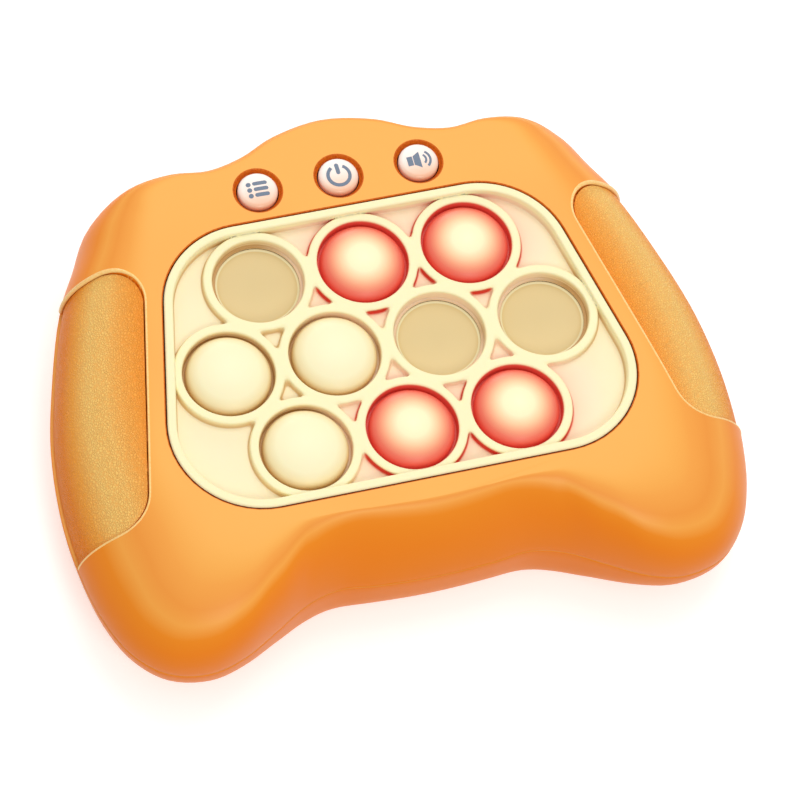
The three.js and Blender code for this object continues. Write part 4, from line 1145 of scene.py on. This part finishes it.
def buildButton(name, finish):
    shape = buttonShape
    x, y = middleOf(name)[:2]
    reach = shape["radius"] - shape["edge"]
    profile = [(r, buttonTop(r)) for r in np.linspace(0, reach, shape["crownRings"])]
    edgeTop = buttonTop(reach)
    profile += [(reach + shape["edge"] * math.sin(t), edgeTop - shape["edge"] * (1 - math.cos(t)))
                for t in np.linspace(shape["edgeFrom"], math.pi / 2, shape["edgeRings"])]
    profile += [(shape["radius"], shape["foot"]), (0, shape["foot"])]
    piece = joinForms(name + "Cap", [turnedForm(profile, (x, y))], finish, sharp=50)
    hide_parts(name)
    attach(piece, name)


# a flat print between two lines of points, lying on the crown of a button
def printForm(one, other):
    one, other = np.array(one, float), np.array(other, float)
    count = len(one)
    rows = [one, (one * 2 + other) / 3, (one + other * 2) / 3, other]
    points = []
    for lift in buttonShape["print"]:
        for row in rows:
            points += [(px, py, buttonTop(math.hypot(px, py)) + lift) for px, py in row]
    faces = []
    at = lambda layer, row, i: (layer * len(rows) + row) * count + i
    for layer in (0, 1):
        for row in range(len(rows) - 1):
            for i in range(count - 1):
                face = (at(layer, row, i), at(layer, row, i + 1),
                        at(layer, row + 1, i + 1), at(layer, row + 1, i))
                faces.append(face if layer else face[::-1])
    border = [at(0, 0, i) for i in range(count)] + [at(0, r, count - 1) for r in (1, 2)]
    border += [at(0, 3, i) for i in reversed(range(count))] + [at(0, r, 0) for r in (2, 1)]
    layerSize = len(rows) * count
    for a, b in zip(border, border[1:] + border[:1]):
        faces.append((a, b, b + layerSize, a + layerSize))
    return points, faces


def arcLine(radius, first, last, count, x, y):
    return [(x + radius * math.cos(math.radians(t)), y + radius * math.sin(math.radians(t)))
            for t in np.linspace(first, last, count)]


def arcBand(inner, outer, first, last, x=0, y=0, count=20):
    return printForm(arcLine(inner, first, last, count, x, y), arcLine(outer, first, last, count, x, y))


# a bar with round ends from a to b
def barPrint(a, b, half, steps=8):
    turn = math.degrees(math.atan2(b[1] - a[1], b[0] - a[0]))
    rows = []
    for way in (1, -1):
        near = arcLine(half, turn + 180, turn + 180 + way * 90, steps, *a)
        far = arcLine(half, turn + 180 + way * 90, turn + 180 + way * 180, steps, *b)
        rows.append(np.vstack([near, np.linspace(near[-1], far[0], steps + 1)[1:-1], far]))
    return printForm(*rows)


icons = {"menu_button": [barPrint((-2.1, y), (-2.08, y), 0.6) for y in (-1.55, 0, 1.55)]
         + [barPrint((-0.6, y), (2.05, y), 0.5) for y in (-1.55, 0, 1.55)],
         "power_button": [arcBand(2.25, 3.1, 122, 418, 0, -0.2, 40), barPrint((0, 0.5), (0, 2.6), 0.5)],
         "sound_button": [printForm(*([(x, side * y) for x, y in line] for side in (-1, 1))) for line in
                          ([(-2.85, 1.25), (-2.2, 1.25), (-1.5, 1.25)],
                           [(-1.3, 1.2), (-0.45, 1.7), (0.4, 2.25)])]
         + [arcBand(inner, outer, -52, 52, 0.4) for inner, outer in ((1.15, 1.7), (2.2, 2.8))]}


def buildIcon(name, finish):
    x, y = middleOf(name)[:2]
    forms = [([(px + x, py + y, pz) for px, py, pz in points], faces) for points, faces in icons[name]]
    piece = joinForms(name.replace("_button", "Icon"), forms, finish, sharp=40)
    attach(piece, name)


buildBottomShell(orange)
buildBatteryBox(orange)
buildDoor(orange)
buildSeamTongue(orange)
print("bottom shell built")
# the mat's outer side stands deep in the case's opening, where a dark brown copy of the rubber is painted
# shade
buildMat(matSilicone(), silicone("shadedSilicone", silicones["shade"])[0])
raised = [name for name in bubbleNames if name not in bubbles["lit"] + bubbles["pressed"]]
# lit bubbles: painted lamp light and a painted glow
litRubber = bubbleSilicone("litSilicone", silicones["glows"], bubbles["lit"], silicones["emission"])
# raised bubbles: painted shade towards the edge
creamRubber = bubbleSilicone("creamBubble", silicones["creams"], raised)
# popped bubbles: painted shade all over, with a painted highlight on the fold
poppedShadeRubber = bubbleSilicone("poppedShadeBubble", silicones["poppedShade"], bubbles["pressed"])
for name in bubbleNames:
    finish, slotName = creamRubber, "mat_silicone"
    if name in bubbles["pressed"]:
        finish, slotName = poppedShadeRubber, "tan_silicone"
    elif name in bubbles["lit"]:
        finish, slotName = litRubber, "lit_silicone"
    buildBubble(name, finish)
print("mat and bubbles built")
whiteAbs, ink = buttonAbs(), slateInk()
for name in buttonNames:
    buildButton(name, whiteAbs)
    buildIcon(name, ink)
print("buttons built")


# the plain finishes have two tones, a roughness, then the width and depth of the grain in millimetres and,
# for zinc, how far the roughness follows it and its detail
hidden = {"zinc": (["#bcc0c6", "#d2d4d8"], 0.34, 0.8, 0.004, 0.08, 3),
          "nylon": (["#26262a", "#34343a"], 0.5, 0.6, 0.01),
          "red": (["#c5281c", "#a81f16"], 0.4, 1.5, 0.01),
          "black": (["#1b1b1d", "#2c2c2f"], 0.4, 1.5, 0.01),
          "milk": (["#f2f1ec", "#e6e4dc"], 0.45, 0.8, 0.008),
          "grey": (["#a9adb3", "#8d9197"], 0.45, 0.6, 0.03),
          # the board's mask and tracks, then the tracks' half width, length, distance and height
          "mask": ["#1d6a3c", "#175a32"], "copper": "#2c8a52", "tracks": (0.35, 9, 3.2), "trackHigh": 0.03,
          # the cone's tones, then how far apart and how deep its rings are
          "paper": ["#1c1c1f", "#3a3a3e"], "rings": (0.8, 0.15),
          # a cell's can, film and band, and their places as shares of its length
          "can": "#c4c7cc", "film": "#2f5f8c", "band": "#e8eaec",
          "cell": [(0, "can"), (0.035, "can"), (0.04, "film"), (0.72, "film"), (0.725, "band"),
                   (0.93, "band"), (0.94, "can"), (1, "can")]}


# steel, pressed or headed and then zinc plated: bright, with the fine cloudiness of the plating
def zincSteel():
    return tonedMaterial("zincSteel", *hidden["zinc"], Metallic=1)


# glass fibre board with copper tracks under a green solder mask, through which the tracks show lighter
def solderMask():
    material, tree, shader = newMaterial("solderMask", hidden["mask"][0], 0.3, IOR=1.5)
    place = addNode(tree, "TexCoord")
    half, long, apart = (size * mm for size in hidden["tracks"])
    tracks = addNode(tree, "TexBrick", {"offset": 0.5},
                     {"Scale": 1, "Mortar Size": half, "Mortar Smooth": 0.2, "Brick Width": long,
                      "Row Height": apart, "Color1": linear(hidden["mask"][0]),
                      "Color2": linear(hidden["mask"][1]), "Mortar": linear(hidden["copper"])},
                     {"Vector": place.outputs["Object"]})
    tree.links.new(tracks.outputs["Color"], shader.inputs["Base Color"])
    raiseBy(tree, shader, tracks.outputs["Fac"], hidden["trackHigh"])
    return material


# printed shrink film round a steel can: a plain blue body with a pale band, and bare steel at both ends
def cellJacket(low, high):
    material, tree, shader = newMaterial("cellJacket", hidden["film"], 0.32, IOR=1.5)
    addGrain(tree, shader, 1.2, 0.01)
    stops = [(share, hidden[tone]) for share, tone in hidden["cell"]]
    paintAlong(tree, shader, shareAlong(tree, "X", low, high), stops)
    return material


# paper cone, pressed with rings, in a black painted steel basket
def speakerPaper():
    material, tree, shader = newMaterial("speakerPaper", hidden["paper"][0], 0.6, IOR=1.5)
    apart, deep = hidden["rings"]
    away = addDistance(tree, [middleOf("speaker")[:2]])
    rings = addNode(tree, "Math", {"operation": "PINGPONG"}, {1: apart}, {0: away}).outputs[0]
    raiseBy(tree, shader, rings, deep)
    paintAlong(tree, shader, rings, [(0, hidden["paper"][0]), (apart, hidden["paper"][1])])
    return material


# the finish of each of the model's own parts that stays in sight, by the start of its name
def finishNodes():
    zinc, mask = zincSteel(), solderMask()
    nylon = tonedMaterial("blackNylon", *hidden["nylon"], IOR=1.5)  # moulded: black and satin
    red = tonedMaterial("redPvc", *hidden["red"], IOR=1.5)  # extruded: even and a little waxy
    black = tonedMaterial("blackPvc", *hidden["black"], IOR=1.5)  # extruded, as the red
    milk = tonedMaterial("milkyPolystyrene", *hidden["milk"], IOR=1.5)  # moulded: white, clouded
    grey = tonedMaterial("greyRibbon", *hidden["grey"], IOR=1.5)  # pressed film: dull, faintly ribbed
    low, high = nodeBox["battery_1"]
    finishes = {"case_screw": zinc, "door_screw": zinc, "panel_screw": zinc, "left_contact": zinc,
                "right_contact": zinc, "positive_contact": zinc, "negative_contact": zinc, "main_board": mask,
                "button_board": mask, "switch": nylon, "menu_switch": nylon, "power_switch": nylon,
                "sound_switch": nylon, "light_frame": milk, "battery_lead_red": red, "speaker_lead_red": red,
                "battery_lead_black": black, "speaker_lead_black": black, "board_ribbon": grey,
                "speaker": speakerPaper(), "battery_door": orange, "battery": cellJacket(low[0], high[0])}
    for name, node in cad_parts.items():
        starts = [start for start in finishes if name.startswith(start)]
        if starts:
            node.data.materials.clear()
            node.data.materials.append(finishes[max(starts, key=len)])


finishNodes()
print("inside parts finished")


studio = {"sky": 0.6, "floor": "#f4f2ee", "paperGrain": (0.3, 0.01, 0.02), "lift": 0.42, "reach": 2500,
          "drop": 0.02, "aim": (0, 0, 0.02),
          # each soft lamp: its place and width in metres, and its power
          "key": ((0.2, 0.46, 1.0), 0.8, 3.75), "fill": ((0.02, -0.76, 0.78), 0.42, 2.7),
          "rim": ((0.1, 1.1, 0.32), 0.35, 2.4)}


def addSoftLight(name, place, size, power):
    light = bpy.data.lights.new(name, "AREA")
    light.shape, light.size, light.energy = "DISK", size, power
    lamp = addObject(name, light)
    lamp.location = place
    lamp.rotation_euler = (Vector(studio["aim"]) - Vector(place)).to_track_quat("-Z", "Y").to_euler()


# 1 for what the camera sees straight, mirrored or through glass
def seenOrMirrored(tree):
    path = addNode(tree, "LightPath")
    seen = path.outputs["Is Camera Ray"]
    for other in ("Is Glossy Ray", "Is Transmission Ray"):
        both = {0: seen, 1: path.outputs[other]}
        seen = addNode(tree, "Math", {"operation": "MAXIMUM"}, None, both).outputs[0]
    return seen


# matt white paper that takes the shadow, lifted to white for the camera; other light, and a view from below,
# pass through
def buildFloor():
    material, tree, shader = newMaterial("floorPaper", studio["floor"], 0.9)
    addGrain(tree, shader, *studio["paperGrain"])
    seen = seenOrMirrored(tree)
    lift = addNode(tree, "Math", {"operation": "MULTIPLY"}, {1: studio["lift"]}, {0: seen})
    shader.inputs["Emission Color"].default_value = (1, 1, 1, 1)
    tree.links.new(lift.outputs[0], shader.inputs["Emission Strength"])
    face = addNode(tree, "NewGeometry")
    front = addNode(tree, "Math", {"operation": "SUBTRACT"}, {0: 1}, {1: face.outputs["Backfacing"]})
    solid = addNode(tree, "Math", {"operation": "MULTIPLY"}, None, {0: seen, 1: front.outputs[0]})
    clear = addNode(tree, "BsdfTransparent")
    mix = addNode(tree, "MixShader", None, None,
                  {0: solid.outputs[0], 1: clear.outputs[0], 2: shader.outputs[0]})
    tree.links.new(mix.outputs[0], tree.nodes["Material Output"].inputs["Surface"])
    reach, level = studio["reach"], -studio["drop"]
    corners = [(x * reach, y * reach, level) for x, y in ((-1, -1), (1, -1), (1, 1), (-1, 1))]
    floor = addPiece("floor", corners, [(0, 1, 2, 3)], material, weighted=False)


def buildStudio():
    world = bpy.data.worlds.new("studio")
    scene.world = world
    world.use_nodes = True
    tree = world.node_tree
    light = tree.nodes["Background"]
    light.inputs["Color"].default_value = (1, 1, 1, 1)
    light.inputs["Strength"].default_value = studio["sky"]
    seen = addNode(tree, "Background", None, {"Color": (1, 1, 1, 1), "Strength": 1})
    mix = addNode(tree, "MixShader", None, None,
                  {0: seenOrMirrored(tree), 1: light.outputs[0], 2: seen.outputs[0]})
    tree.links.new(mix.outputs[0], tree.nodes["World Output"].inputs["Surface"])
    for name in ("key", "fill", "rim"):
        addSoftLight(name, *studio[name])
    buildFloor()
    scene.view_settings.view_transform = "Standard"


buildStudio()
print("studio lit")
